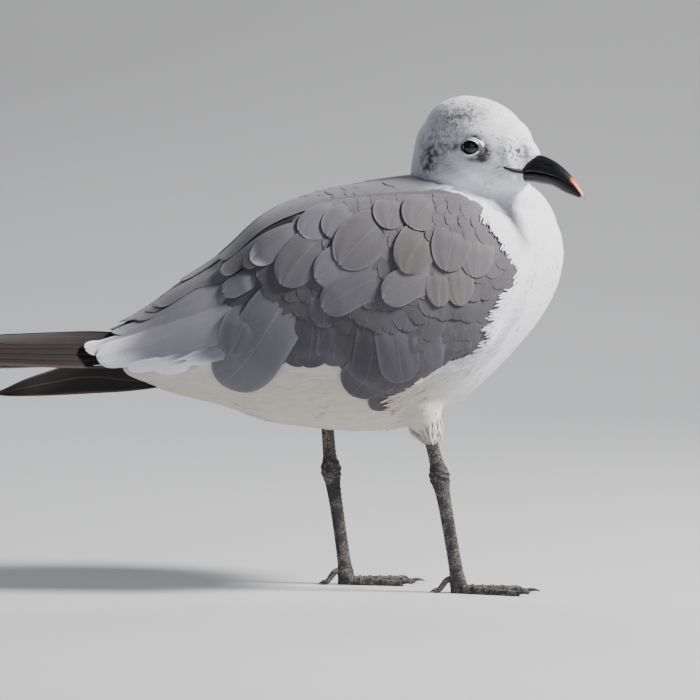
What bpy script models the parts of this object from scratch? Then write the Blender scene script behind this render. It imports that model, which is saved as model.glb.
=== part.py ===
"""A life-size laughing gull that stands at rest, in solids, one for each part a person would name.

The bird faces +X, its left side is +Y and it stands on Z = 0. All lengths are metres. The trunk is a
loft of upright sections. The wings, the mantle and the flight feathers are plates that lie on offsets
of that loft. The head and the bill are lofts along the way the bird looks, which is turned towards its
right side.
"""

import math

import bmesh
import bpy
import numpy as np
from mathutils import Vector

MM = 0.001
GAP = 0.4 * MM  # between neighbours that only touch
FINE_GAP = 0.3 * MM  # between a piece and the socket cut for it

# The trunk, from the tips of the undertail coverts to the front of the breast:
# (x, height of the back, height of the belly, half the width), in millimetres.
TRUNK_SECTIONS = (
    (-112, 107, 105, 0),
    (-109, 113, 100, 9),
    (-98, 122, 97, 18),
    (-80, 138, 91, 26),
    (-60, 155, 86, 34),
    (-41, 174, 79, 40),
    (-20, 184, 75.5, 44),
    (5, 189.5, 73.5, 47),
    (30, 193.5, 76.5, 48),
    (53, 196, 89, 45),
    (73, 189.5, 107.5, 38),
    (88, 183, 125, 27.5),
    (97, 174, 141, 16),
    (101, 160, 157, 0),
)
RUMP_CUT_ROW = 6  # the trunk behind this section is the rump, a piece of its own
TRUNK_SIDES = 26
TRUNK_STEPS = 2  # rings to each span between two sections
TRUNK_SQUARENESS = 2.35  # exponent of the section's superellipse: 2 is an ellipse, more is fuller

# The neck, from its root inside the breast to its end inside the head:
# (height, x of the middle, y of the middle, half the length, half the width), in millimetres.
NECK_SECTIONS = (
    (150, 66, 0, 0, 0),
    (153, 66, 0, 15, 12),
    (163, 66.5, 0, 30.5, 21),
    (176, 64.5, -1, 32.5, 24),
    (187, 58.5, -3, 31, 23.5),
    (196, 52, -5, 24.5, 21.5),
    (206, 46.5, -3, 17.5, 17),
    (215, 44, 0, 12.5, 12),
    (220, 44, 2, 8, 7),
    (222, 44, 2, 0, 0),
)

NECK_SIDES = 22

# The head looks along +f, which is turned by HEAD_TURN from +X towards the bird's right.
# The eyes sit at f = 0: (f, height of the crown, height of the chin, half the width), in millimetres.
HEAD_TURN = math.radians(38)
EYE_PLANE = Vector((65.6 * MM, -15.0 * MM, 0.0))
HEAD_SECTIONS = (
    (-36, 212, 210, 0),
    (-34.5, 220, 202, 8),
    (-28, 228.5, 193, 15),
    (-17, 232.5, 186, 19.5),
    (-6, 231.5, 184, 20.5),
    (4, 228, 185, 18.2),
    (12, 222, 187, 14.2),
    (18.5, 214, 189, 10.2),
    (24, 206.6, 190.5, 6.8),
    (27.5, 203, 193, 3.5),
    (28.5, 199, 197, 0),
)
HEAD_SIDES = 20
HEAD_SQUARENESS = 2.15

# The bill in the same frame: (f, height of its upper line, height of its lower line, half the width).
UPPER_BILL_SECTIONS = (
    (11, 200, 197.5, 3.6),
    (17.5, 202.5, 196.2, 4.8),
    (24.5, 204.7, 196.3, 5.4),
    (32.6, 202.3, 195.2, 4.4),
    (39.3, 198.1, 193.2, 3.5),
    (45.1, 192.6, 189.8, 2.4),
    (49.1, 187.4, 185.8, 1.4),
    (50.4, 184.8, 184.3, 0.4),
)
LOWER_BILL_SECTIONS = (
    (11, 197.1, 193.0, 3.4),
    (17.5, 195.8, 191.6, 4.6),
    (24.5, 195.9, 190.9, 5.0),
    (32.6, 194.8, 190.2, 3.9),
    (39.3, 192.8, 187.3, 2.9),
    (45.1, 189.4, 185.6, 1.8),
    (47.8, 186.6, 185.2, 0.9),
)
BILL_SIDES = 10
BILL_SOCKET_DEPTH = 1  # millimetres behind the bill's own root
BILL_SQUARENESS = 2.0

EYE_RADIUS = 6.0 * MM
EYE_SIDE = 14.3 * MM  # from the head's middle plane to the middle of the eyeball
EYE_HEIGHT = 208.2 * MM

# What the wings and the mantle lie on: sections of its own over the rump, then the trunk's.
BED_SECTIONS = (
    (-118, 121, 97, 24.5),
    (-98, 131, 95, 27.5),
    (-80, 144, 90, 31.5),
    (-60, 157.5, 85.4, 36),
)
BED_JOIN_ROW = 5  # of the trunk's sections, the first that the bed follows
BED_LIFT = 1.2  # from the trunk, in millimetres

# The wing lies on that bed between two lines: (share across, from the mantle to the low edge, x).
WING_FRONT = ((0, 51), (0.12, 62), (0.25, 69), (0.5, 77), (0.7, 80), (0.86, 73), (1, 62))
WING_REAR = ((0, -105), (0.3, -110), (0.6, -112.5), (1, -96))
MANTLE_EDGE = ((-112, 7), (-60, 15), (0, 24), (40, 34), (80, 40))  # x, degrees from the top of the back
WING_LOW_EDGE = (  # x, height of the wing's low edge
    (-112, 102),
    (-95, 101),
    (-68, 98),
    (-42, 97),
    (-22, 99),
    (-2, 92),
    (12, 84),
    (24, 89),
    (34, 96),
    (48, 107),
    (62, 111),
    (70, 116),
    (80, 134),
)
WING_EDGE_THICKNESS = 1.1 * MM
WING_THICKNESS = ((-112, 1.6), (-70, 3.4), (-20, 6.2), (30, 8.6), (60, 8.2), (80, 5))  # x, over the middle
MANTLE_THICKNESS = 2.2 * MM
MANTLE_FRONT_X = 27 * MM
MANTLE_FRONT_CURVE = 9 * MM  # how far back its corners lie
MANTLE_REAR_X = -92 * MM
MANTLE_SEAM = 0.03  # radians round the bed, on each side of the line where the mantle and a wing meet

# The folded primaries carry the wing on past the tail:
# (x, y and z of the low edge, y and z of the high edge).
PRIMARIES = (
    (-98, 21.2, 103.6, 17.2, 118.6),
    (-112, 21.5, 103.6, 9.5, 120.6),
    (-124, 27.0, 104.0, 7.0, 121.2),
    (-140, 29.5, 105.2, 5.5, 120.6),
    (-160, 28.5, 106.6, 4.5, 119.8),
    (-185, 24.0, 109.0, 4.0, 118.6),
    (-208, 17.5, 112.4, 5.5, 117.4),
    (-225, 11.5, 115.4, 10.5, 116.0),
)
PRIMARY_THICKNESS = 1.4 * MM
PRIMARY_CAMBER = 2.2 * MM

# The left wing's outermost primary hangs below the tail:
# (x, y, height of the high edge, height of the low edge).
LOOSE_PRIMARY = (
    (-88, 22.0, 98, 94.5),
    (-104, 26.0, 99.6, 92.2),
    (-116, 32.0, 104.4, 91.2),
    (-127, 32.5, 105.3, 90.6),
    (-140, 32.2, 102.2, 90.0),
    (-152, 31.4, 98.2, 89.8),
    (-162, 30.6, 93.6, 90.0),
    (-167, 30.2, 91.6, 90.8),
)
LOOSE_PRIMARY_THICKNESS = 1.0 * MM

TAIL_ROOT_X = -92 * MM
TAIL_TIP_X = -174 * MM
TAIL_ROOT_HALF_WIDTH = 13 * MM
TAIL_TIP_HALF_WIDTH = 24 * MM
TAIL_HEIGHT = 112.0 * MM  # of its upper face, along the middle
TAIL_DROP = 4.2 * MM  # of its sides below its middle
TAIL_THICKNESS = 2.4 * MM
TAIL_SLOT_GAP = 0.6 * MM

# Each leg: side (-1 right, +1 left), the thigh's root, its end, the ankle, and the foot in plan.
LEGS = {
    "right": {"side": -1, "root": (29, -23, 92), "knee_tuft": (36.6, -22.5, 69), "ankle": (40.2, -22, 55.0),
              "foot": (49.4, -21.5), "heading": math.radians(-6)},
    "left": {"side": 1, "root": (-11, 23, 92), "knee_tuft": (-8.8, 22.5, 70), "ankle": (-7.6, 22, 55.0),
             "foot": (-0.3, 21.5), "heading": math.radians(5)},
}
THIGH_RADII = (12.5, 11.0, 6.6, 3.4)  # from the root to the tuft's end
SHANK_RADII = ((0.0, 2.5), (0.2, 2.9), (0.3, 4.1), (0.4, 3.2), (0.6, 2.7), (0.85, 2.8), (1.0, 3.3))
SHANK_BASE_Z = 4.7 * MM

# Each front toe: degrees from the foot's heading (the positive way is outward), length without the claw.
TOES = (("inner", -23, 27.5), ("middle", 1, 33.0), ("outer", 24, 31.0))
TOE_HALF_ANGLE = math.radians(3.6)
TOE_HEIGHTS = (4.2, 2.5)  # at the root and at the end
WEB_THICKNESS = 0.9 * MM
WEB_HOLLOW = 0.2  # how far the web's edge draws back between two toes, as a share of their length
FOOT_BACK = 3.0 * MM  # the toes meet this far behind the shank's middle
CLAW_LENGTH = 5.0 * MM
CLAW_RADII = (0.9 * MM, 0.75 * MM, 0.25 * MM)
CLAW_HEIGHT = 1.35 * MM
CLAW_DROP = 0.9 * MM  # from its root to its tip
HIND_TOE_LENGTH = 7.5 * MM
HIND_TOE_RADII = (1.5 * MM, 1.5 * MM, 1.2 * MM, 1.1 * MM)
HIND_TOE_SHARES = ((0, 1), (0.4, 0.55), (0.75, 0), (1, 0))  # along it, share of its height
HIND_TOE_RISE = 2.0 * MM  # of its root over the end of the shank
HIND_TOE_TIP_Z = 0.95 * MM
SOLE_LEVEL = 0.4 * MM  # what lies lower than this on a hind toe is its flat sole

COLOURS = {
    "body_plumage": ((0.86, 0.86, 0.88), 0.85),
    "white_feather": ((0.84, 0.84, 0.85), 0.85),
    "grey_feather": ((0.26, 0.25, 0.28), 0.8),
    "dark_feather": ((0.035, 0.027, 0.025), 0.75),
    "bill_horn": ((0.012, 0.011, 0.014), 0.35),
    "claw_horn": ((0.02, 0.018, 0.018), 0.4),
    "eye": ((0.004, 0.004, 0.005), 0.06),
    "leg_skin": ((0.06, 0.05, 0.052), 0.6),
}


# ---------------------------------------------------------------- curves and sections


def smooth_rows(rows, per_span):
    """Catmull-Rom points through the rows, per_span to each span."""
    rows = np.asarray(rows, dtype=float)
    padded = np.vstack((2 * rows[0] - rows[1], rows, 2 * rows[-1] - rows[-2]))
    share = np.arange(per_span)[:, None] / per_span
    spans = []
    for i in range(len(rows) - 1):
        a, b, c, d = padded[i : i + 4]
        spans.append(
            0.5 * (2 * b + (c - a) * share + (2 * a - 5 * b + 4 * c - d) * share**2
                   + (3 * b - a - 3 * c + d) * share**3)
        )
    return np.vstack(spans + [rows[-1:]])


def along(table, at):
    """The table's second column at the given values of its first, on a smooth curve."""
    dense = smooth_rows(table, 12)
    return np.interp(at, dense[:, 0], dense[:, 1])


def superellipse(angle, squareness):
    """Sideways and upward shares, each -1 to 1, at an angle from straight up."""
    sine, cosine = np.sin(angle), np.cos(angle)
    power = 2 / squareness
    return np.sign(sine) * np.abs(sine) ** power, np.sign(cosine) * np.abs(cosine) ** power


def upright_rings(rows, around, squareness, grow=0.0):
    """Rings across the first column, each a superellipse between its upper and lower heights."""
    position, top, bottom, half = (np.asarray(rows, dtype=float) * MM).T[:, :, None]
    side, up = superellipse(np.linspace(0, 2 * math.pi, around, endpoint=False)[None, :], squareness)
    middle, reach = (top + bottom) / 2, (top - bottom) / 2
    rings = np.empty((len(position), around, 3))
    rings[:, :, 0] = position
    rings[:, :, 1] = (half + grow) * side
    rings[:, :, 2] = middle + (reach + grow) * up
    return rings


def bed_table():
    """The bed's sections, close together: its own over the rump, then the trunk's raised by BED_LIFT."""
    trunk = np.array(TRUNK_SECTIONS[BED_JOIN_ROW:], dtype=float)
    trunk[:, 1:] += np.array((BED_LIFT, -BED_LIFT, BED_LIFT))
    return smooth_rows(np.vstack((BED_SECTIONS, trunk)), 16) * MM


def bed_at(x):
    """Height of the bed's top and bottom and half its width at an x."""
    table = bed_table()
    return tuple(np.interp(x, table[:, 0], table[:, i]) for i in (1, 2, 3))


def on_bed(x, angle, lift):
    """Points on the bed, raised by lift, at an x and an angle from the top of the back."""
    top, bottom, half = bed_at(x)
    side, up = superellipse(angle, TRUNK_SQUARENESS)
    height = (top + bottom) / 2 + ((top - bottom) / 2 + lift) * up
    return np.stack((x + 0 * side, (half + lift) * side, height), -1)


def bed_angle(x, height):
    """The angle from the top of the back at which the bed's side has this height."""
    top, bottom, _ = bed_at(x)
    up = np.clip((height - (top + bottom) / 2) / ((top - bottom) / 2), -0.97, 0.97)
    return np.arccos(np.sign(up) * np.abs(up) ** (TRUNK_SQUARENESS / 2))


# ---------------------------------------------------------------- objects


def material(slot):
    made = bpy.data.materials.get(slot)
    if made is None:
        colour, roughness = COLOURS[slot]
        made = bpy.data.materials.new(slot)
        made.use_nodes = True
        shader = made.node_tree.nodes["Principled BSDF"]
        shader.inputs["Base Color"].default_value = (*colour, 1)
        shader.inputs["Roughness"].default_value = roughness
        shader.inputs["Metallic"].default_value = 0.0
    return made


def new_object(name, vertices, faces, slot, collection):
    mesh = bpy.data.meshes.new(name)
    mesh.from_pydata([tuple(v) for v in vertices], [], faces)
    body = bmesh.new()
    body.from_mesh(mesh)
    bmesh.ops.remove_doubles(body, verts=body.verts, dist=0.00001)
    bmesh.ops.recalc_face_normals(body, faces=body.faces)
    body.to_mesh(mesh)
    body.free()
    made = bpy.data.objects.new(name, mesh)
    if slot:
        mesh.materials.append(material(slot))
        mesh.shade_smooth()
        mesh.set_sharp_from_angle(angle=math.radians(40))
    else:
        made.hide_render = True
        made.display_type = "WIRE"
    collection.objects.link(made)
    return made


def loft(name, rings, slot, collection):
    """A closed body through the rings. A ring of one point ends it there, any other in a flat cap."""
    count, around, _ = rings.shape
    faces = []
    for i in range(count - 1):
        for j in range(around):
            k = (j + 1) % around
            faces.append((i * around + j, i * around + k, (i + 1) * around + k, (i + 1) * around + j))
    for end in (0, count - 1):
        if np.ptp(rings[end], axis=0).max() > 0.00001:
            faces.append(tuple(end * around + j for j in range(around)))
    return new_object(name, rings.reshape(-1, 3), faces, slot, collection)


def plate(name, outer, inner, slot, collection):
    """A closed plate between two grids of the same size, with a rim of faces round its edge."""
    rows, columns, _ = outer.shape
    under = rows * columns
    faces = []
    for i in range(rows - 1):
        for j in range(columns - 1):
            a, b = i * columns + j, i * columns + j + 1
            c, d = b + columns, a + columns
            faces += [(a, b, c, d), (under + d, under + c, under + b, under + a)]
    border = list(range(columns))
    border += [i * columns + columns - 1 for i in range(1, rows)]
    border += [(rows - 1) * columns + j for j in range(columns - 2, -1, -1)]
    border += [i * columns for i in range(rows - 2, 0, -1)]
    for a, b in zip(border, border[1:] + border[:1]):
        faces.append((b, a, under + a, under + b))
    return new_object(name, np.vstack((outer.reshape(-1, 3), inner.reshape(-1, 3))), faces, slot, collection)


def tapered_tube(name, points, radii, slot, collection, sides=3):
    """A round bar along the points, with a radius at each."""
    curve = bpy.data.curves.new(name, "CURVE")
    curve.dimensions = "3D"
    curve.bevel_depth = 1.0
    curve.bevel_resolution = sides
    curve.use_fill_caps = True
    spline = curve.splines.new("POLY")
    spline.points.add(len(points) - 1)
    for point, place, radius in zip(spline.points, points, radii):
        point.co = (*place, 1)
        point.radius = radius
    holder = bpy.data.objects.new(name + "_curve", curve)
    collection.objects.link(holder)
    depsgraph = bpy.context.evaluated_depsgraph_get()
    mesh = bpy.data.meshes.new_from_object(holder.evaluated_get(depsgraph))
    vertices = [tuple(v.co) for v in mesh.vertices]
    faces = [tuple(p.vertices) for p in mesh.polygons]
    bpy.data.objects.remove(holder)
    bpy.data.curves.remove(curve)
    bpy.data.meshes.remove(mesh)
    return new_object(name, vertices, faces, slot, collection)


def cut(target, cutter):
    modifier = target.modifiers.new("cut_" + cutter.name, "BOOLEAN")
    modifier.operation = "DIFFERENCE"
    modifier.solver = "EXACT"
    modifier.object = cutter


# ---------------------------------------------------------------- the parts


def turned(rings):
    """From the head's own frame (f, left, height) to the bird's."""
    cosine, sine = math.cos(HEAD_TURN), math.sin(HEAD_TURN)
    out = rings.copy()
    out[..., 0] = EYE_PLANE.x + rings[..., 0] * cosine + rings[..., 1] * sine
    out[..., 1] = EYE_PLANE.y - rings[..., 0] * sine + rings[..., 1] * cosine
    return out


def neck_rings(around, grow=0.0):
    height, x, y, length, width = (smooth_rows(NECK_SECTIONS, 2) * MM).T[:, :, None]
    angle = np.linspace(0, 2 * math.pi, around, endpoint=False)[None, :]
    rings = np.empty((len(height), around, 3))
    rings[:, :, 0] = x + (length + grow) * np.cos(angle)
    rings[:, :, 1] = y + (width + grow) * np.sin(angle)
    rings[:, :, 2] = height
    rings[0, :, 2] -= grow
    rings[-1, :, 2] += grow
    return rings


def make_head_and_neck(parts, cutters):
    head_rows = smooth_rows(HEAD_SECTIONS, 2)
    head = loft("head", turned(upright_rings(head_rows, HEAD_SIDES, HEAD_SQUARENESS)), "body_plumage", parts)
    wider = turned(upright_rings(head_rows, HEAD_SIDES, HEAD_SQUARENESS, FINE_GAP))
    head_socket = loft("head_socket", wider, None, cutters)
    for side, name in ((-1, "right"), (1, "left")):
        place = turned(np.array([0.0, side * EYE_SIDE, EYE_HEIGHT]))
        ball = sphere_rings(place, EYE_RADIUS)
        loft("eye_" + name, ball, "eye", parts)
        cut(head, loft("eye_socket_" + name, sphere_rings(place, EYE_RADIUS + FINE_GAP), None, cutters))
    for name, rows in (("bill_upper", UPPER_BILL_SECTIONS), ("bill_lower", LOWER_BILL_SECTIONS)):
        dense = smooth_rows(rows, 2)
        loft(name, turned(upright_rings(dense, BILL_SIDES, BILL_SQUARENESS)), "bill_horn", parts)
        dense[0, 0] -= BILL_SOCKET_DEPTH
        wider = turned(upright_rings(dense, BILL_SIDES, BILL_SQUARENESS, FINE_GAP))
        cut(head, loft(name + "_socket", wider, None, cutters))
    neck = loft("neck", neck_rings(NECK_SIDES), "body_plumage", parts)
    cut(neck, head_socket)


def sphere_rings(place, radius):
    polar = np.linspace(0, math.pi, 8)[:, None]
    around = np.linspace(0, 2 * math.pi, 11, endpoint=False)[None, :]
    rings = np.stack(
        (np.sin(polar) * np.cos(around), np.sin(polar) * np.sin(around), np.cos(polar) + 0 * around), -1
    )
    return rings * radius + place


def tail_grids(grow=0.0):
    """The tail's upper and under faces: a flat fan, arched across like a low roof."""
    share = np.linspace(0, 1, 9)[:, None]
    across = np.linspace(-1, 1, 9)[None, :]
    tip = TAIL_TIP_X + 2 * MM * across**2 - grow
    x = (TAIL_ROOT_X + grow) * (1 - share) + tip * share
    half = TAIL_ROOT_HALF_WIDTH + (TAIL_TIP_HALF_WIDTH - TAIL_ROOT_HALF_WIDTH) * share**0.7
    upper = np.stack((x, (half + grow) * across, TAIL_HEIGHT - TAIL_DROP * across**2 + 0 * share), -1)
    under = upper.copy()
    upper[..., 2] += grow
    under[..., 2] -= TAIL_THICKNESS * (1 - 0.45 * share) + grow
    return upper, under


def make_trunk_and_tail(parts, cutters):
    rings = upright_rings(smooth_rows(TRUNK_SECTIONS, TRUNK_STEPS), TRUNK_SIDES, TRUNK_SQUARENESS)
    behind, before = rings[: RUMP_CUT_ROW * TRUNK_STEPS + 1], rings[RUMP_CUT_ROW * TRUNK_STEPS :].copy()
    before[0, :, 0] += FINE_GAP
    rump = loft("rump", behind, "white_feather", parts)
    trunk = loft("trunk", before, "body_plumage", parts)
    plate("tail", *tail_grids(), "white_feather", parts)
    cut(rump, plate("tail_slot", *tail_grids(TAIL_SLOT_GAP), None, cutters))
    cut(trunk, loft("neck_socket", neck_rings(NECK_SIDES, FINE_GAP), None, cutters))


def mantle_edge(x):
    return np.radians(along(MANTLE_EDGE, x / MM))


def make_mantle(parts):
    share = np.linspace(0, 1, 15)[:, None]
    across = np.linspace(-1, 1, 7)[None, :]
    front = MANTLE_FRONT_X - MANTLE_FRONT_CURVE * across**2
    x = MANTLE_REAR_X * (1 - share) + front * share
    angle = (mantle_edge(x) - MANTLE_SEAM) * across
    taper = np.clip(np.minimum(share, 1 - share) / 0.15, 0, 1)
    thickness = WING_EDGE_THICKNESS + (MANTLE_THICKNESS - WING_EDGE_THICKNESS) * taper
    plate("mantle", on_bed(x, angle, thickness), on_bed(x, angle, 0.0), "grey_feather", parts)


def make_wing(name, side, parts):
    across = np.linspace(0, 1, 9)[None, :]
    share = np.linspace(0, 1, 22)[:, None]
    x = (along(WING_REAR, across) * (1 - share) + along(WING_FRONT, across) * share) * MM
    low_angle = bed_angle(x, along(WING_LOW_EDGE, x / MM) * MM)
    angle = (mantle_edge(x) + MANTLE_SEAM) * (1 - across) + low_angle * across
    bulge = np.clip(np.sin(math.pi * across), 0, 1) ** 0.6 * np.clip((1 - share) / 0.12, 0, 1) ** 0.5
    upper_part = np.clip(1 - across / 0.25, 0, 1)
    thickness = WING_EDGE_THICKNESS + (along(WING_THICKNESS, x / MM) * MM - WING_EDGE_THICKNESS) * bulge
    step = (MANTLE_THICKNESS - WING_EDGE_THICKNESS) * upper_part * (1 - bulge)
    thickness += step * np.clip(share / 0.2, 0, 1)
    outer, inner = on_bed(x, angle, thickness), on_bed(x, angle, 0.0)
    outer[..., 1] *= side
    inner[..., 1] *= side
    plate("wing_" + name, outer, inner, "grey_feather", parts)


def make_primaries(name, side, parts):
    rows = smooth_rows(PRIMARIES, 2) * MM
    x, low_y, low_z, high_y, high_z = rows.T[:, :, None]
    across = np.linspace(0, 1, 6)[None, :]
    camber = PRIMARY_CAMBER * np.sin(math.pi * across) * np.clip((high_z - low_z) / (12 * MM), 0, 1)
    y = low_y + (high_y - low_y) * across + 0.5 * camber
    z = low_z + (high_z - low_z) * across + camber
    outer = np.stack((x + 0 * across, side * y, z), -1)
    inner = outer.copy()
    inner[..., 2] -= PRIMARY_THICKNESS
    plate("primaries_" + name, outer, inner, "dark_feather", parts)


def make_loose_primary(parts):
    x, y, high, low = (smooth_rows(LOOSE_PRIMARY, 2) * MM).T[:, :, None]
    across = np.linspace(0, 1, 4)[None, :]
    z = low + (high - low) * across
    outer = np.stack((x + 0 * z, y + 0 * z, z), -1)
    inner = outer.copy()
    inner[..., 1] -= LOOSE_PRIMARY_THICKNESS
    plate("loose_primary_left", outer, inner, "dark_feather", parts)


def make_leg(name, leg, parts, trunk_skin):
    root, tuft, ankle = (Vector(leg[key]) * MM for key in ("root", "knee_tuft", "ankle"))
    path = [root, root.lerp(tuft, 0.35), root.lerp(tuft, 0.8), tuft]
    thigh = tapered_tube("thigh_" + name, path, [r * MM for r in THIGH_RADII], "body_plumage", parts, sides=5)
    cut(thigh, trunk_skin)

    foot = Vector((*(c * MM for c in leg["foot"]), SHANK_BASE_Z))
    start = tuft + (ankle - tuft).normalized() * GAP
    shares = [share for share, _ in SHANK_RADII]
    points = []
    for share in shares:
        bend = SHANK_RADII[2][0]
        if share <= bend:
            points.append(start.lerp(ankle, share / bend))
        else:
            points.append(ankle.lerp(foot, (share - bend) / (1 - bend)))
    tapered_tube("shank_" + name, points, [r * MM for _, r in SHANK_RADII], "leg_skin", parts, sides=3)
    make_foot(name, leg, foot, parts)


def toe_columns(leg):
    """Angles across the foot, with each one's height above the web and length: ridges at the toes."""
    columns = []
    for i, (_, degrees, length) in enumerate(TOES):
        middle = math.radians(degrees)
        for step, ridge in ((-1, 0), (-0.5, 0.85), (0, 1), (0.5, 0.85), (1, 0)):
            columns.append((middle + step * TOE_HALF_ANGLE, ridge, length * (1 - 0.05 * step**2)))
        if i + 1 < len(TOES):
            _, next_degrees, next_length = TOES[i + 1]
            for share in (0.33, 0.67):
                between = middle + (math.radians(next_degrees) - middle) * share
                hollow = 1 - WEB_HOLLOW * math.sin(math.pi * share)
                reach = (length + (next_length - length) * share) * hollow
                columns.append((between, 0, reach))
    return np.array(columns).T


def make_foot(name, leg, foot, parts):
    side, heading = leg["side"], leg["heading"]
    start = np.array((foot.x - FOOT_BACK * math.cos(heading), foot.y - FOOT_BACK * math.sin(heading), 0.0))
    angle, ridge, length = toe_columns(leg)
    share = np.array((0.08, 0.2, 0.35, 0.52, 0.7, 0.86, 1.0))[:, None]
    reach = share * (length[None, :] * MM + FOOT_BACK)
    bearing = heading + side * angle[None, :]
    height = (TOE_HEIGHTS[0] + (TOE_HEIGHTS[1] - TOE_HEIGHTS[0]) * share) * MM
    height = np.where(share > 0.95, height * 0.75, height)
    top = WEB_THICKNESS + (height - WEB_THICKNESS) * ridge[None, :]
    top = np.maximum(top, height * np.clip(1.15 - share / 0.3, 0, 1))
    upper = np.stack((start[0] + reach * np.cos(bearing), start[1] + reach * np.sin(bearing), top), -1)
    sole = upper.copy()
    sole[..., 2] = 0.0
    plate("foot_" + name, upper, sole, "leg_skin", parts)

    for toe, degrees, toe_length in TOES:
        bearing = heading + side * math.radians(degrees)
        way = Vector((math.cos(bearing), math.sin(bearing), 0.0))
        tip = Vector(start) + way * (toe_length * MM + FOOT_BACK + GAP)
        base = tip + Vector((0, 0, CLAW_HEIGHT))
        points = [base, base + way * CLAW_LENGTH * 0.5, base + way * CLAW_LENGTH - Vector((0, 0, CLAW_DROP))]
        tapered_tube(f"claw_{toe}_{name}", points, CLAW_RADII, "claw_horn", parts, sides=2)

    back = Vector((-math.cos(heading), -math.sin(heading), 0.0))
    hind_start = foot + back * (SHANK_RADII[-1][1] * MM + 3 * GAP)
    points = []
    for share, rise in HIND_TOE_SHARES:
        points.append(hind_start + back * HIND_TOE_LENGTH * share)
        points[-1].z = HIND_TOE_TIP_Z + (hind_start.z + HIND_TOE_RISE - HIND_TOE_TIP_Z) * rise
    hind_toe = tapered_tube("hind_toe_" + name, points, HIND_TOE_RADII, "leg_skin", parts, sides=2)
    for corner in hind_toe.data.vertices:
        if corner.co.z < SOLE_LEVEL:
            corner.co.z = 0.0


def centre_lengthwise(parts, cutters):
    """Hang everything on one empty that puts the middle of the bird's length at X = 0."""
    reach = [corner.co.x for piece in parts.objects for corner in piece.data.vertices]
    root = bpy.data.objects.new("bird", None)
    root.location.x = -(min(reach) + max(reach)) / 2
    for piece in [*parts.objects, *cutters.objects]:
        piece.parent = root
    parts.objects.link(root)
    bpy.context.view_layer.update()


def main():
    for stale in list(bpy.data.objects):
        bpy.data.objects.remove(stale)
    parts = bpy.data.collections.new("laughing_gull")
    cutters = bpy.data.collections.new("cutters")
    for made in (parts, cutters):
        bpy.context.scene.collection.children.link(made)

    make_head_and_neck(parts, cutters)
    make_trunk_and_tail(parts, cutters)
    make_mantle(parts)
    trunk_skin = loft(
        "trunk_skin",
        upright_rings(smooth_rows(TRUNK_SECTIONS, TRUNK_STEPS), TRUNK_SIDES, TRUNK_SQUARENESS, FINE_GAP),
        None,
        cutters,
    )
    for name, leg in LEGS.items():
        make_wing(name, leg["side"], parts)
        make_primaries(name, leg["side"], parts)
        make_leg(name, leg, parts, trunk_skin)
    make_loose_primary(parts)
    centre_lengthwise(parts, cutters)


main()
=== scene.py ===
import math

import bmesh
import bpy
import numpy as np
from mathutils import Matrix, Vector


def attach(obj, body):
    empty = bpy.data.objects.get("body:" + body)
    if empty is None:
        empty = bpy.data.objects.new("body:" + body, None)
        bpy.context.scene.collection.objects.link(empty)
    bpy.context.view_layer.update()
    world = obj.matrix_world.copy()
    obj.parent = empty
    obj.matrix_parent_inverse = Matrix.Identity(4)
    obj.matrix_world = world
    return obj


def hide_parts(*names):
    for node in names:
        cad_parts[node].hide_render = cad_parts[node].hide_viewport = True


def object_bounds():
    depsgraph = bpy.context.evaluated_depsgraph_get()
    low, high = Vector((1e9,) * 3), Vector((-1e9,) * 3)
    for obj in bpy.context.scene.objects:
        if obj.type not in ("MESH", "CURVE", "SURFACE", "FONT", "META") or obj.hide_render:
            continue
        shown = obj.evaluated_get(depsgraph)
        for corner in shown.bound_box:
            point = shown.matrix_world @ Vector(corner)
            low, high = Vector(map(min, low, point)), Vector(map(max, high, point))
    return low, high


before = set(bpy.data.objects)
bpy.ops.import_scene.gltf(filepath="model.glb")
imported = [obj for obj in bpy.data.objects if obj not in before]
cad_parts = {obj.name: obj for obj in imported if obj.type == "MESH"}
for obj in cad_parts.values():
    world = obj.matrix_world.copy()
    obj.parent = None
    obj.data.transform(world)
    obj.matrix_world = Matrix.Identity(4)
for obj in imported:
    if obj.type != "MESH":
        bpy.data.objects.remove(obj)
CAD_BOX = [list(corner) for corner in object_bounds()]

bl_info = {
    "name": "Laughing gull model",
    "version": (1, 0, 0),
    "blender": (4, 5, 0),
    "location": "View3D > Sidebar > Gull",
    "description": "Skin, feathers, bill, eyes and feet of a life-size laughing gull",
    "category": "Object",
}

MM = 0.001
REAR = -225 * MM  # the wing tips in the bird's own coordinates, whose X starts under the middle of the body
SHIFT = CAD_BOX[0][0] - REAR  # from those to the frame's
PATCH = 0.003  # a small tuft's place on its bake map
SIDES = (("right", -1), ("left", 1))

# ---------------------------------------------------------------- the bird's sizes, in millimetres

# Trunk: (x, height of the back, height of the belly, half the width).
TRUNK = (
    (-107, 106.5, 104.5, 0), (-104.5, 112, 100.5, 8), (-96, 121.5, 97, 18), (-80, 138, 91, 26), (-60, 155, 86, 34),
    (-41, 174, 79, 40), (-20, 184, 75.5, 44), (5, 189.5, 73.5, 47), (30, 193.5, 76.5, 48), (53, 196, 89, 45),
    (73, 189.5, 107.5, 38), (88, 183, 125, 27.5), (97, 174, 141, 16), (101, 160, 157, 0),
)
TRUNK_SQUARENESS = 2.35  # exponent of the section's superellipse
# The bed that the wings lie on: its own rows behind, then the trunk's from BED_JOIN_ROW, raised by BED_LIFT.
BED = ((-118, 121, 97, 24.5), (-98, 131, 95, 27.5), (-80, 144, 90, 31.5), (-60, 157.5, 85.4, 36))
BED_JOIN_ROW = 5
BED_LIFT = 1.2
BED_FRONT = 98
AXIS_HEIGHT = 135  # of the body's axis
HEAD_BASE = 186  # height over which the coat's map is the head's

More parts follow.
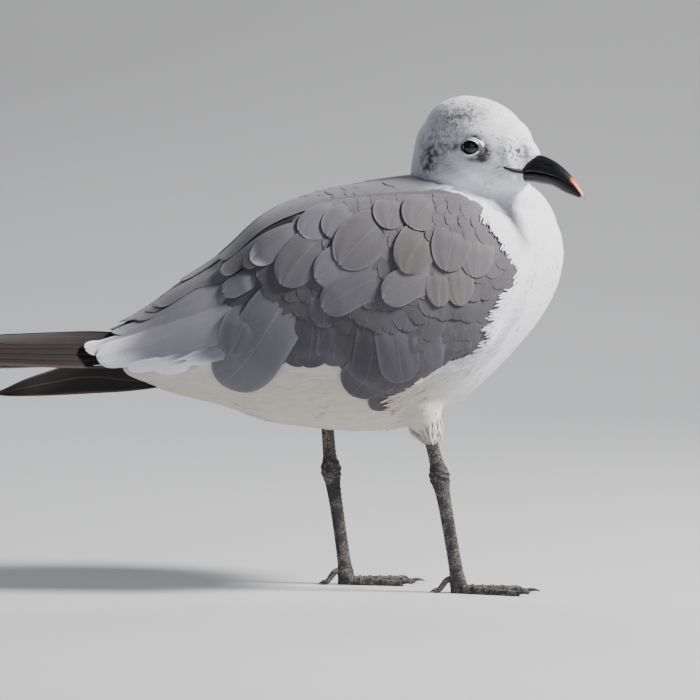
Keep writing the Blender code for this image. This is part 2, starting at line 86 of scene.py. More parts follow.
# Neck: (height, x of the middle, y of the middle, half the length, half the width).
NECK = (
    (150, 66, 0, 0, 0), (153, 66, 0, 15, 12), (163, 66.5, 0, 30.5, 21), (176, 64.5, -1, 32.5, 24),
    (187, 58.5, -3, 31, 23.5), (196, 52, -5, 24.5, 21.5), (206, 46.5, -3, 17.5, 17), (215, 44, 0, 12.5, 12),
    (220, 44, 2, 8, 7), (222, 44, 2, 0, 0),
)

# Head, along the way it looks: (f, height of the crown, height of the chin, half the width); the eyes are at f = 0.
HEAD_TURN = math.radians(38)
EYE_PLANE = (65.6, -15.0)
HEAD = (
    (-36, 212, 210, 0), (-34.5, 220, 202, 8), (-28, 228.5, 193, 15), (-17, 232.5, 186, 19.5),
    (-6, 231.5, 184, 20.5), (4, 228, 185, 18.2), (12, 222, 187, 14.2), (18.5, 214, 189, 10.2),
    (24, 206.6, 190.5, 6.8), (27.5, 203, 193, 3.5), (28.5, 199, 197, 0),
)
HEAD_SQUARENESS = 2.15
# The two halves of the bill, in the head's columns.
UPPER_BILL = (
    (11, 200, 197.5, 3.6), (17.5, 202.5, 196.2, 4.8), (24.5, 204.6, 196.3, 5.4), (32.6, 202.2, 195.2, 4.4),
    (39.3, 198.0, 193.2, 3.5), (45.1, 192.6, 189.8, 2.4), (49.1, 187.4, 185.8, 1.4), (50.4, 184.8, 184.3, 0.4),
)
LOWER_BILL = (
    (11, 197.7, 193.4, 3.2), (17.5, 196.6, 192.2, 4.2), (24.5, 196.6, 191.7, 4.6), (32.6, 195.6, 190.7, 3.7),
    (39.3, 193.6, 187.9, 2.8), (45.1, 190.0, 186.0, 1.7), (47.8, 187.0, 185.4, 0.8),
)
# The head's skin ends on the bill: over its ridge the feathers reach farther than at its sides.
SNOUT = (
    (15.5, 219.6, 188.0, 12.4), (18.4, 215.2, 190.8, 8.4), (20.6, 212.6, 195.0, 6.2), (23.0, 209.6, 199.0, 5.2),
    (24.4, 207.4, 201.2, 3.8), (25.6, 205.6, 203, 0),
)
FACE = [row for row in HEAD if row[0] < 14] + list(SNOUT)
EYE_RADIUS, EYE_SIDE, EYE_HEIGHT = 6.0, 14.3, 208.2

# Wing: it lies on the bed between two lines, from the mantle (share 0) to its low edge (share 1). Its front and rear
# are an x for a share; the rest goes by x: the mantle's edge in degrees from the top of the back, the low edge's
# height, and the thickness.
WING_SPAN = (-112, 80)
WING_FRONT = ((0, 51), (0.12, 62), (0.25, 69), (0.5, 77), (0.7, 81), (0.86, 78), (1, 68))
WING_REAR = ((0, -105), (0.3, -110), (0.6, -112.5), (1, -96))
MANTLE_EDGE = ((-112, 7), (-60, 15), (0, 24), (40, 34), (80, 40))
WING_LOW_EDGE = (
    (-112, 104), (-95, 104), (-68, 104.5), (-45, 107), (-26, 109.5), (-10, 107), (2, 98), (12, 92), (24, 94.5),
    (34, 102), (42, 108), (55, 111.5), (63, 117), (70, 129), (80, 141),
)
WING_THICKNESS = ((-112, 1.6), (-70, 3.4), (-20, 6.2), (30, 8.6), (60, 8.2), (80, 5))
WING_EDGE = 1.1
EDGE_ROUND = 1.2  # thickness kept where the wing thins out to its outline

# Folded primaries: (x, y and z of the low edge, y and z of the high edge).
PRIMARIES = (
    (-98, 21.2, 101.2, 17.2, 118.6), (-112, 21.5, 101.2, 9.5, 120.6), (-124, 27.0, 102.0, 7.0, 121.2),
    (-140, 29.5, 103.9, 5.5, 120.8), (-160, 28.5, 106.8, 4.5, 120.2), (-185, 24.0, 110.0, 4.0, 119.2),
    (-208, 17.5, 113.0, 5.5, 117.8), (-225, 11.5, 115.4, 10.5, 116.2),
)
# The drooping primary: (x, y, height of its upper edge, height of its lower edge).
LOOSE_PRIMARY = (
    (-74, 17.0, 101.5, 98.5),
    (-88, 22.0, 100, 94.5), (-104, 26.0, 103.0, 92.2), (-116, 31.0, 106.2, 91.2), (-127, 32.0, 106.2, 90.6),
    (-140, 32.2, 102.2, 90.0), (-152, 31.4, 98.2, 89.8), (-162, 30.6, 93.6, 90.0), (-167, 30.2, 91.6, 90.8),
)
TAIL_ROOT, TAIL_TIP = -92, -174
TAIL_HALF = (13, 24)
TAIL_HEIGHT, TAIL_DROP = 112, 4.2

LEGS = {
    "right": {"side": -1, "root": (29, -23, 92), "tuft": (36.0, -22.5, 72.0), "ankle": (40.2, -22, 55.0),
              "foot": (49.4, -21.5, 4.7), "heading": math.radians(-6)},
    "left": {"side": 1, "root": (-11, 23, 92), "tuft": (-9.4, 22.5, 77.5), "ankle": (-7.6, 22, 55.0),
             "foot": (-0.3, 21.5, 4.7), "heading": math.radians(5)},
}
THIGH_RADII = (12.5, 11.0, 6.6, 3.4)
TOES = (("inner", -23, 27.5), ("middle", 1, 33.0), ("outer", 24, 31.0))
FOOT_BACK = 3.0
TOE_WIDTH, TOE_HEIGHT = (3.6, 2.7), (4.0, 2.3)  # at the heel and at the tip
CLAW = 5.0

# The wing's large feathers, by where each starts and ends as seen from the side:
# (x and z of the root, x and z of the tip, half the width, layer, how far the tip stands off, white, brown, tone).
# The high tones of the upper rear feathers, up to 4.4, are painted light on their upward faces.
REAR_FEATHERS = (
    (-42, 143, -125.0, 115.6, 5.2, 0.2, 0.5, 0.20, 0.0, 4.4),
    (-40, 130, -114, 111, 6.5, 0.0, 0.4, 0.30, 0.0, 4.0),
    (-42, 121, -100, 108.6, 5.0, 0.0, 0.3, 0.55, 0.0, 3.6),
    (-38, 138, -119.5, 111.2, 7.6, 1.4, 0.8, 0.24, 0.0, 4.4),
    (-60, 119.6, -105.2, 106.6, 4.6, 0.3, 0.6, 0.55, 0.0, 3.6),
    (-76, 108.4, -92, 104.4, 2.4, 0.4, 0.5, 1.0, 0.0, 1.0),
    (-76, 106.6, -88, 103.4, 1.9, 0.5, 0.7, 1.0, 0.0, 0.8),
    (-45, 149, -112.4, 122.8, 7.0, 1.8, 0.3, 0.06, 0.0, 3.4),
    (-47, 158, -87, 141.0, 7.8, 2.6, 0.4, 0.06, 0.1, 2.8),
    (-45, 150, -61.5, 140.4, 5.5, 3.4, 0.3, 0.0, 0.0, 1.8),
    (-27, 147, -61.5, 98.4, 14.0, 4.4, 0.8, 0.0, 0.0, 0.8),
    (-49, 135, -58.5, 113.6, 9.2, 5.6, 0.3, 0.0, 0.0, 0.3),
)
# The hanging coverts' low tones are painted shade, as they hang low on the wing facing down.
HANGING_FEATHERS = (
    (18, 124, -2.0, 93.0, 12.0, 0.8, 0.7, 0.0, 0.0, -1.7),
    (30, 106, 7.4, 86.2, 6.0, 0.0, 0.6, 0.0, 0.8, -1.5),
    (-19, 140, -22.5, 106.6, 10.0, 2.4, 0.9, 0.0, 0.0, -1.8),
    (-8, 138, -11.5, 107.2, 8.5, 1.8, 0.8, 0.0, 0.0, -1.5),
    (-14, 146, -16, 126.0, 6.5, 3.2, 0.3, 0.0, 0.0, -0.7),
    (29.5, 136, 31.5, 104, 9.0, 1.6, 0.4, 0.0, 0.0, -1.2),
    (41, 138, 41.5, 111, 8.5, 1.8, 0.3, 0.0, 0.0, -1.4),
    (52.4, 140, 52.5, 115, 8.5, 2.0, 0.3, 0.0, 0.1, -1.2),
    (57, 142, 56.4, 117.6, 6.2, 2.2, 0.3, 0.0, 0.1, -1.0),
    (10.0, 136, 3.8, 100.4, 8.5, 2.6, 0.8, 0.0, 0.0, -2.1),
    (14.6, 138, 21.0, 102.4, 9.6, 3.2, 0.6, 0.0, 0.0, -0.8),
)
SCAPULARS = (
    (20.0, 150, -16.5, 134.2, 8.0, 3.2, 1.6, 0.0, 0.1, -0.3),
    (41, 151, 11.0, 138.2, 7.5, 3.6, 1.6, 0.0, 0.2, 0.1),
    (38.5, 153, 36.4, 135.6, 6.0, 3.4, 0.9, 0.0, 1.0, -0.3),
    (47.5, 155, 46.4, 136.4, 6.5, 3.3, 0.8, 0.0, 1.0, -0.1),
    (-20, 168, -48.4, 153.6, 7.4, 4.0, 1.4, 0.13, 0.0, 0.8),
    (-13, 167, -35, 143.8, 9.6, 4.2, 1.2, 0.0, 0.1, -0.6),
    (13.5, 160, -19.5, 146.2, 9.0, 4.4, 1.2, 0.0, 0.0, 0.7),
    (-4, 178, -25.5, 165.0, 9.5, 4.8, 0.5, 0.03, 0.0, 0.8),
    (2, 177, -14, 164.4, 9.0, 5.0, 0.3, 0.0, 0.1, 0.2),
    (15, 172, -8.5, 152.0, 11.5, 5.8, 0.9, 0.0, 0.2, -0.8),
    (32.5, 167, 20.5, 149.0, 9.5, 5.0, 1.3, 0.0, 1.0, -0.5),
    (20, 184, 14, 167.0, 9.0, 5.2, 0.2, 0.0, 0.5, 0.2),
    (38, 182, 24.5, 167.6, 10.5, 5.6, 0.25, 0.02, 0.6, 0.0),
    (46, 170, 40, 150.0, 9.0, 4.8, 0.4, 0.0, 0.6, -0.5),
    (57, 166, 53, 148.0, 8.0, 4.4, 0.3, 0.0, 0.6, 0.0),
)


# ---------------------------------------------------------------- curves and surfaces


def smooth_rows(rows, per_span):
    """Catmull-Rom curve through the rows: each span is a cubic whose ends have the slopes of the rows around."""
    rows = np.asarray(rows, dtype=float)
    padded = np.vstack((2 * rows[0] - rows[1], rows, 2 * rows[-1] - rows[-2]))
    share = (np.arange(per_span) / per_span)[None, :, None]
    a, b, c, d = (padded[i : len(rows) - 1 + i, None, :] for i in range(4))
    spans = 0.5 * (
        2 * b + (c - a) * share + (2 * a - 5 * b + 4 * c - d) * share**2 + (3 * b - a - 3 * c + d) * share**3
    )
    return np.vstack((spans.reshape(-1, rows.shape[1]), rows[-1:]))


def along(table, at):
    """The table's second column at values of its first, on that smooth curve."""
    dense = smooth_rows(table, 12)
    return np.interp(at, dense[:, 0], dense[:, 1])


def smoothstep(value, low, high):
    """0 below low, 1 above high, and 3t^2 - 2t^3 of the share t between."""
    share = np.clip((value - low) / (high - low), 0, 1)
    return share * share * (3 - 2 * share)


def unit(vectors):
    """The vectors divided by their lengths."""
    return vectors / np.maximum(np.linalg.norm(vectors, axis=-1, keepdims=True), 1e-12)


def full_turn(count):
    """Angles evenly round a circle, as a row."""
    return np.linspace(0, 2 * math.pi, count, endpoint=False)[None, :]


def stacked(*parts):
    """Arrays brought to one shape and put side by side in a last axis."""
    return np.stack(np.broadcast_arrays(*parts), -1)


def superellipse(angle, squareness):
    """Sideways sin^(2/n) and upward cos^(2/n) of the angle from straight up, each with its sign."""
    sine, cosine = np.sin(angle), np.cos(angle)
    power = 2 / squareness
    return np.sign(sine) * np.abs(sine) ** power, np.sign(cosine) * np.abs(cosine) ** power


def upright_rings(rows, around, squareness, grow=0.0):
    """Rings across the first column: superellipses between the second and third, as wide as the fourth."""
    position, top, bottom, half = np.asarray(rows, dtype=float).T[:, :, None]
    side, up = superellipse(full_turn(around), squareness)
    reach = np.maximum((top - bottom) / 2 + grow, 0.02)
    width = np.maximum(half + grow, 0.02)
    return np.stack((position + 0 * side, width * side, (top + bottom) / 2 + reach * up), -1)


def turned(points):
    """From the head's frame (f, left, height) to the bird's: a turn by HEAD_TURN to its right about EYE_PLANE."""
    cosine, sine = math.cos(HEAD_TURN), math.sin(HEAD_TURN)
    out = np.array(points, dtype=float)
    out[..., 0] = EYE_PLANE[0] + points[..., 0] * cosine + points[..., 1] * sine
    out[..., 1] = EYE_PLANE[1] - points[..., 0] * sine + points[..., 1] * cosine
    return out


def to_head(points):
    """The turn undone: places in the bird's frame as (f, left, height)."""
    cosine, sine = math.cos(HEAD_TURN), math.sin(HEAD_TURN)
    x, y = points[..., 0] - EYE_PLANE[0], points[..., 1] - EYE_PLANE[1]
    return np.stack((x * cosine - y * sine, x * sine + y * cosine, points[..., 2]), -1)


def bed_rows():
    """The bed's rows: its own behind, then the trunk's, raised and widened by BED_LIFT."""
    trunk = np.array(TRUNK[BED_JOIN_ROW:], dtype=float)
    trunk[:, 1:] += np.array((BED_LIFT, -BED_LIFT, BED_LIFT))
    return smooth_rows(np.vstack((BED, trunk)), 16)


BED_TABLE = bed_rows()


def bed_at(x):
    """Height of the bed's top and bottom and half its width at an x."""
    return tuple(np.interp(x, BED_TABLE[:, 0], BED_TABLE[:, i]) for i in (1, 2, 3))


def on_bed(x, angle, lift):
    """Points on the bed, raised by lift, at an x and an angle from the top of the back."""
    top, bottom, half = bed_at(x)
    side, up = superellipse(angle, TRUNK_SQUARENESS)
    height = (top + bottom) / 2 + ((top - bottom) / 2 + lift) * up
    return np.stack((x + 0 * side, (half + lift) * side, height + 0 * x), -1)


def bed_angle(x, height):
    """The angle from the top of the back at which the bed's side has this height."""
    top, bottom, _ = bed_at(x)
    up = np.clip((height - (top + bottom) / 2) / ((top - bottom) / 2), -0.97, 0.985)
    return np.arccos(np.sign(up) * np.abs(up) ** (TRUNK_SQUARENESS / 2))


def angle_of(points):
    """The angle from the top of the back, 0 to pi, of places near the bed: the superellipse solved backwards."""
    top, bottom, half = bed_at(points[..., 0])
    side = np.abs(points[..., 1]) / half
    up = (points[..., 2] - (top + bottom) / 2) / ((top - bottom) / 2)
    power = TRUNK_SQUARENESS / 2
    return np.arctan2(side**power, np.sign(up) * np.abs(up) ** power)


def wing_share(points):
    """How far down the wing a place lies: 0 at the mantle's edge, 1 at the wing's low edge."""
    x = np.clip(points[..., 0], *WING_SPAN)
    edge = np.radians(along(MANTLE_EDGE, x))
    low = bed_angle(x, along(WING_LOW_EDGE, x))
    return (angle_of(points) - edge) / (low - edge)


def wing_depth(points):
    """Thickness of the wing over the bed: its edge's, and more over the middle. It swells slowly from the mantle by a
    smooth step of the share down the wing, and rounds off quickly at the low edge and the front by roots of the
    distance to them."""
    share = wing_share(points)
    x = np.clip(points[..., 0], *WING_SPAN)
    swell = smoothstep(share, -0.35, 0.45) * np.clip((1 - share) / 0.30, 0, 1) ** 0.6
    swell = swell * np.clip((x + 118) / 24, 0, 1) ** 0.5
    front = np.clip((along(WING_FRONT, np.clip(share, 0, 1)) + 2 - points[..., 0]) / 12, 0, 1) ** 0.7
    thick = EDGE_ROUND + (along(WING_THICKNESS, x) - WING_EDGE - EDGE_ROUND) * swell
    return WING_EDGE + thick * front * smoothstep(-share, -1.02, -0.9)


def wing_height(x, share):
    """Height of the bed's side at an x and a share of the way down the wing, between its two lines there."""
    low = bed_angle(x, along(WING_LOW_EDGE, x))
    edge = np.radians(along(MANTLE_EDGE, x))
    top, bottom, _ = bed_at(x)
    return (top + bottom) / 2 + (top - bottom) / 2 * superellipse(edge + (low - edge) * share, TRUNK_SQUARENESS)[1]


def onto_bed(points, lift):
    """Points moved straight towards or from the bed's axis onto the bed raised by lift: divided by the radius that
    they have in units of its superellipse."""
    x = np.clip(points[..., 0], BED_TABLE[0, 0], BED_FRONT)
    top, bottom, half = bed_at(x)
    middle = (top + bottom) / 2
    side = points[..., 1] / (half + lift)
    up = (points[..., 2] - middle) / ((top - bottom) / 2 + lift)
    power = TRUNK_SQUARENESS
    radius = (np.abs(side) ** power + np.abs(up) ** power) ** (1 / power)
    out = np.array(points, dtype=float)
    out[..., 1] = (half + lift) * side / radius
    out[..., 2] = middle + ((top - bottom) / 2 + lift) * up / radius
    return out


def beside_bed(x, height, side):
    """The place on the bed's side that has this x and height: its superellipse solved for the distance sideways."""
    top, bottom, half = bed_at(np.clip(x, BED_TABLE[0, 0], BED_FRONT))
    up = np.clip((height - (top + bottom) / 2) / ((top - bottom) / 2), -0.985, 0.985)
    y = half * (1 - np.abs(up) ** TRUNK_SQUARENESS) ** (1 / TRUNK_SQUARENESS)
    return np.stack((x, side * y, (top + bottom) / 2 + (top - bottom) / 2 * up), -1)


# ---------------------------------------------------------------- meshes


def grid_quads(rows, columns, closed=False):
    """Corner numbers of a grid's quads, row by row. A closed grid's last column joins its first."""
    i = np.arange(rows - 1)[:, None]
    j = np.arange(columns if closed else columns - 1)[None, :]
    k = (j + 1) % columns
    corners = (i * columns + j, i * columns + k, (i + 1) * columns + k, (i + 1) * columns + j)
    return stacked(*corners).reshape(-1, 4)


def new_mesh(name, points, quads):
    """A mesh of quads from whole arrays, in millimetres of the bird's frame."""
    mesh = bpy.data.meshes.new(name)
    places = np.asarray(points, dtype=np.float32).reshape(-1, 3) * MM
    places[:, 0] += SHIFT
    mesh.vertices.add(len(places))
    mesh.vertices.foreach_set("co", places.ravel())
    mesh.loops.add(quads.size)
    mesh.loops.foreach_set("vertex_index", quads.astype(np.int32).ravel())
    mesh.polygons.add(len(quads))
    mesh.polygons.foreach_set("loop_start", np.arange(0, quads.size, 4, dtype=np.int32))
    mesh.update(calc_edges=True)
    return mesh


def add_floats(mesh, name, values):
    """A number for each of the mesh's points."""
    mesh.attributes.new(name, "FLOAT", "POINT").data.foreach_set("value", np.asarray(values, np.float32).ravel())


def add_map(mesh, name, places, quads):
    """A flat map from a place for each of the mesh's points."""
    layer = mesh.uv_layers.new(name=name)
    layer.uv.foreach_set("vector", np.asarray(places, np.float32).reshape(-1, 2)[quads.ravel()].ravel())


def place(mesh, name, material, nodes=()):
    """Link the mesh as a piece that rides on the bird and stands for the given solids."""
    piece = bpy.data.objects.new(name, mesh)
    bpy.context.scene.collection.objects.link(piece)
    mesh.materials.append(material)
    mesh.shade_smooth()
    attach(piece, "root")
    if nodes:
        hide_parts(*nodes)
    return piece


def weld(mesh):
    """Merge the doubled points at poles and seams and turn the faces outwards."""
    body = bmesh.new()
    body.from_mesh(mesh)
    bmesh.ops.remove_doubles(body, verts=body.verts, dist=0.000004)
    bmesh.ops.recalc_face_normals(body, faces=body.faces)
    body.to_mesh(mesh)
    body.free()
    return mesh


def capped(rings):
    """Rings with each end drawn in to its middle point, so that a loft closes."""
    first, last = (end.mean(1, keepdims=True) + 0 * end for end in (rings[:1], rings[-1:]))
    return np.concatenate((first, rings, last))


def join_grids(grids):
    """Points and quads of several closed lofts as one."""
    points, quads, start = [], [], 0
    for grid in grids:
        points.append(grid.reshape(-1, 3))
        quads.append(grid_quads(*grid.shape[:2], True) + start)
        start += len(points[-1])
    return np.vstack(points), np.vstack(quads)


def loft(name, *grids):
    """A mesh of closed lofts, each given as rings of points."""
    return new_mesh(name, *join_grids(grids))


def tube_rings(path, radii, around):
    """Rings square to a path: the path's point plus radius times the cosine and sine of the angle on two normals."""
    path = np.asarray(path, dtype=float)
    way = unit(np.gradient(path, axis=0))
    level = abs(way[0, 2]) < 0.8
    across = unit(np.cross(way, np.array((0.0, 0.35, 1.0) if level else (1.0, 0.0, 0.0))))
    up = np.cross(across, way)
    angle = full_turn(around)[..., None]
    radius = np.asarray(radii, dtype=float).reshape(len(path), -1, 1)
    return path[:, None] + radius * (np.cos(angle) * across[:, None] + np.sin(angle) * up[:, None])


# ---------------------------------------------------------------- shaders


class Number:
    """A number that a shader works out at each point. Arithmetic on it adds Math nodes."""

    def __init__(self, shader, socket):
        self.shader, self.socket = shader, socket

    def math(self, operation, *values):
        node = self.shader.node("ShaderNodeMath", {"operation": operation}, dict(enumerate(values)))
        return Number(self.shader, node.outputs[0])

    def __add__(self, other):
        return self.math("ADD", self, other)

    def __sub__(self, other):
        return self.math("SUBTRACT", self, other)

    def __rsub__(self, other):
        return self.math("SUBTRACT", other, self)

    def __mul__(self, other):
        return self.math("MULTIPLY", self, other)

    __radd__, __rmul__ = __add__, __mul__

    def size(self):
        return self.math("ABSOLUTE", self)

    def step(self, low, high):
        """0 below low, 1 above high and smooth between."""
        node = self.shader.node("ShaderNodeMapRange", {"interpolation_type": "SMOOTHSTEP"}, {0: self, 1: low, 2: high})
        return Number(self.shader, node.outputs[0])


class Shader:
    """A material with one Principled BSDF, and short ways to add nodes before it."""

    def __init__(self, name, **fixed):
        self.material = bpy.data.materials.new(name)
        self.material.use_nodes = True
        self.tree = self.material.node_tree
        self.surface = self.tree.nodes["Principled BSDF"]
        for socket, value in fixed.items():
            self.surface.inputs[socket.replace("_", " ")].default_value = value

    def feed(self, socket, value):
        value = getattr(value, "socket", value)
        if isinstance(value, bpy.types.NodeSocket):
            self.tree.links.new(value, socket)
        else:
            socket.default_value = value

    def node(self, kind, settings=None, values=None):
        made = self.tree.nodes.new(kind)
        for key, value in (settings or {}).items():
            setattr(made, key, value)
        for key, value in (values or {}).items():
            self.feed(made.inputs[key], value)
        return made

    def attribute(self, name):
        return Number(self, self.node("ShaderNodeAttribute", {"attribute_name": name}).outputs["Fac"])

    def vane(self):
        """Across and along a feather, from its own map: 0 to 1 each, with the shaft at 0.5."""
        flat = self.node("ShaderNodeUVMap", {"uv_map": "Vane"})
        split = self.node("ShaderNodeSeparateXYZ", None, {0: flat.outputs[0]})
        return Number(self, split.outputs[0]), Number(self, split.outputs[1])

    def place(self):
        return self.node("ShaderNodeTexCoord").outputs["Object"]

    def vector(self, x, y, z):
        return self.node("ShaderNodeCombineXYZ", None, {0: x, 1: y, 2: z}).outputs[0]

    def noise(self, where, scale, detail=2.0, roughness=0.5):
        values = {"Vector": where, "Scale": scale, "Detail": detail, "Roughness": roughness}
        return Number(self, self.node("ShaderNodeTexNoise", None, values).outputs[0])

    def blend(self, factor, first, second):
        """A colour between two, by a factor."""
        return self.node("ShaderNodeMix", {"data_type": "RGBA"}, {0: factor, 6: first, 7: second}).outputs[2]

    def shaded(self, colour, amount):
        """The colour times a number."""
        values = {0: 1.0, 6: colour, 7: self.vector(amount, amount, amount)}
        return self.node("ShaderNodeMix", {"data_type": "RGBA", "blend_type": "MULTIPLY"}, values).outputs[2]

    def finish(self, colour, roughness=None, height=None, distance=0.0001):
        """Feed the surface, with a bump of height times distance."""
        self.feed(self.surface.inputs["Base Color"], colour)
        if roughness is not None:
            self.feed(self.surface.inputs["Roughness"], roughness)
        if height is not None:
            bump = self.node("ShaderNodeBump", None, {"Strength": 0.6, "Distance": distance, "Height": height})
            self.feed(self.surface.inputs["Normal"], bump.outputs[0])
        return self.material


def rgba(colour):
    """The colour with full opacity."""
    return (*colour, 1.0)


def soft_plumage(name, colours, vanes):
    """White body plumage with the bird's markings and painted shade, which its points carry as shares: dusky and
    speckled marks, belly_shade for the darker, cream belly that paints shade and reflected light, and covered for a
    grey painted as shade on the skin under the wings."""
    shader = Shader(name, Roughness=0.85, Sheen_Weight=0.12, Sheen_Roughness=0.5, Specular_IOR_Level=0.2)
    where = shader.place()
    fine = shader.noise(where, 1400, 3, 0.6)
    patch = shader.noise(where, 330, 4, 0.6).step(0.36, 0.64)
    # The belly's darker, cream white is painted shade and reflected light.
    white = shader.blend(shader.attribute("belly_shade"), rgba(colours.white), rgba(colours.belly))
    dusk = (shader.attribute("dusk") * (0.50 + 0.75 * patch)).step(0.03, 1.12)
    speck = shader.noise(where, 640, 2, 0.5).step(0.50, 0.60) * shader.attribute("specks")
    dusk = dusk + 0.95 * speck * (1.0 - dusk)
    colour = shader.blend(dusk, white, rgba(colours.dusk))
    # Painted shade: a grey on the skin where the wings lie over it, so that gaps between the wing feathers read dark.
    colour = shader.blend(shader.attribute("covered"), colour, rgba(colours.shadow))
    light = 0.93 + 0.12 * fine
    height = fine
    if vanes:
        across, run = shader.vane()
        off = (across - 0.5).size()
        tone = shader.attribute("tone")
        barbs = shader.noise(shader.vector(off * 3.0 + tone * 7.0, (run - off * 0.9) * 26.0, tone * 31.0), 1.0, 2, 0.6)
        light = (0.90 + 0.16 * barbs) * (1.0 + 0.05 * tone)
        height = barbs
    return shader.finish(shader.shaded(colour, light), None, height, 0.00008)


def vane_plumage(name, base, second, rim, tip):
    """A large feather: barbs slant out from the shaft, the rim is paler, and the tip's colour covers the end."""
    shader = Shader(name, Roughness=0.72, Sheen_Weight=0.08, Sheen_Roughness=0.5, Specular_IOR_Level=0.25)
    across, run = shader.vane()
    off = (across - 0.5).size() * 2.0
    tone = shader.attribute("tone")
    length, width = shader.attribute("length"), shader.attribute("width")
    slant = run * length - off * width * 0.9
    barbs = shader.noise(shader.vector(slant * 2.4, off * 1.6 + tone * 5.0, tone * 23.0), 1.0, 3, 0.62)
    broad = shader.noise(shader.vector(slant * 0.22, off * 1.1, tone * 11.0), 1.0, 2, 0.5)
    colour = shader.blend(shader.attribute("brown") * (0.35 + 0.8 * broad), rgba(base), rgba(second))
    # A feather's tone carries random differences, and in some tables painted light and shade.
    light = (1.0 + 0.22 * tone) * (0.74 + 0.34 * barbs + 0.20 * broad)
    colour = shader.shaded(colour, light)
    bold = shader.attribute("bold")
    edge = (off + 0.12 * barbs).step(0.84, 1.1) * 0.6 + (run + 0.05 * barbs).step(0.95, 1.03) * 0.4
    colour = shader.blend(edge * bold, colour, rgba(rim))
    colour = shader.blend(shader.attribute("frost") * (0.7 + 0.6 * (barbs - 0.5)), colour, rgba(tip))
    start = 1.0 - shader.attribute("white")
    reach = (run - start + 0.10 * (barbs - 0.5) - 0.10 * (1.0 - off)).step(-0.10, 0.14)
    colour = shader.blend(reach * shader.attribute("white").step(0.0, 0.05), colour, rgba(tip))
    shaft = 1.0 - off.step(0.01, 0.05)
    colour = shader.blend(shaft * 0.4 * bold, colour, rgba(rim))
    return shader.finish(colour, None, barbs * 0.7 + shaft * 0.6, 0.00012)


# ---------------------------------------------------------------- markings and the lie of the coat


def spot(head, f, height, length, tall):
    """A soft round mark on both sides of the head: a bell curve of the distance from its middle."""
    return np.exp(-(((head[..., 0] - f) / length) ** 2 + ((head[..., 2] - height) / tall) ** 2))


# Dusky marks on each side of the head: (weight, f, height, length, tallness).
SIDE_MARKS = (
    (0.74, -22.0, 205.0, 7.0, 11.0), (0.30, -22.5, 197.0, 4.5, 6.0), (0.34, -14.5, 207.5, 5.0, 3.6),
    (0.75, -7.8, 208.4, 3.4, 2.6), (0.95, 6.0, 204.2, 4.2, 3.4), (0.60, 1.0, 202.6, 5.5, 1.5),
    # The thin mark just over the eye, at height 213.3, is painted shade under the brow.
    (0.85, 0.0, 213.3, 5.5, 1.0), (0.70, 6.8, 208.3, 1.8, 2.4), (0.50, 12.5, 195.5, 5.0, 3.0),
    (0.40, 5.0, 190.8, 5.0, 3.2),
)


CROWN_MARKS = ((0.72, -6.5, 223.5, 10.0, 6.0), (0.22, -26.0, 219.0, 8.0, 9.0))
CROWN_SPECKS = ((0.7, -6.5, 223.0, 13.0, 8.0), (0.5, -14.0, 209.0, 9.0, 7.0))

# Forms of the head's skin: how far out, and the same places. Eye hollow, brow, cheek, lores, crease at the gape.
HEAD_FORMS = (
    (-1.15, 0.3, EYE_HEIGHT, 5.6, 4.6), (0.65, 1.0, EYE_HEIGHT + 6.6, 7.0, 2.2), (0.55, -6.0, 197.5, 8.0, 4.5),
    (-0.5, 11.0, 204.5, 3.5, 3.0), (-0.7, 12.0, 199.4, 6.0, 0.9),
)


def spots(head, table):
    """The sum of a table's round marks, each times its weight."""
    return sum(weight * spot(head, *where) for weight, *where in table)


def markings(points):
    """Dusky, speckled, belly_shade and covered shares of places on the bird, 0 to 1 each: sums of soft round marks on
    the head; a slow step down and forward to the belly, where the white is painted darker and cream as shade and
    reflected light; and where the wings cover the skin, which is painted grey as shade."""
    head = to_head(points)
    side = smoothstep(np.abs(head[..., 1]), 4, 9)
    on_head = smoothstep(points[..., 2], 184, 189) * smoothstep(head[..., 0], -40, -34)
    dusk = side * spots(head, SIDE_MARKS)
    specks = smoothstep(np.abs(head[..., 1]), 0.5, 3.0) * spot(head, 18.5, 206.0, 5.0, 6.5)
    specks += spots(head, CROWN_SPECKS)
    dusk += 0.25 * spot(head, 18.5, 206.5, 4.0, 5.5)
    dusk += spots(head, CROWN_MARKS)
    # The belly's share, where shade and cream reflected light are painted.
    belly_shade = smoothstep(-points[..., 2], -122, -92) * smoothstep(-points[..., 0], -72, -20)
    dusk, specks = (np.clip(mark * on_head, 0, 1) for mark in (dusk, specks))
    return {"dusk": dusk, "specks": specks, "belly_shade": belly_shade * 0.9, "covered": covered(points, *SHADE_MARGINS)}


def off_bed(points):
    """How far places stand off the bed, towards or from its axis."""
    section, bed = points[..., 1:], onto_bed(points, 0.0)[..., 1:]
    outside = [np.linalg.norm(places - (0, AXIS_HEIGHT), axis=-1) for places in (section, bed)]
    return np.linalg.norm(section - bed, axis=-1) * np.sign(outside[0] - outside[1])


def covered(points, margin, low_margin):
    """1 where the wings and the mantle lie over a place, 0 outside, with a soft edge of 3 mm moved in by the margins
    at the front and at the low edge."""
    x = points[..., 0]
    share = wing_share(points)
    low = along(WING_LOW_EDGE, np.clip(x, *WING_SPAN))
    above = smoothstep(points[..., 2] - low - low_margin, -1.5, 1.5)
    front = np.where(share < 0, 40, along(WING_FRONT, np.clip(share, 0, 1)))
    behind = smoothstep(front - x - margin, -1.5, 1.5)
    depth = wing_depth(points)
    off_neck = smoothstep(-off_bed(points), -depth - 2.0, -depth - 0.5)
    return above * behind * off_neck * smoothstep(x, -113, -110)


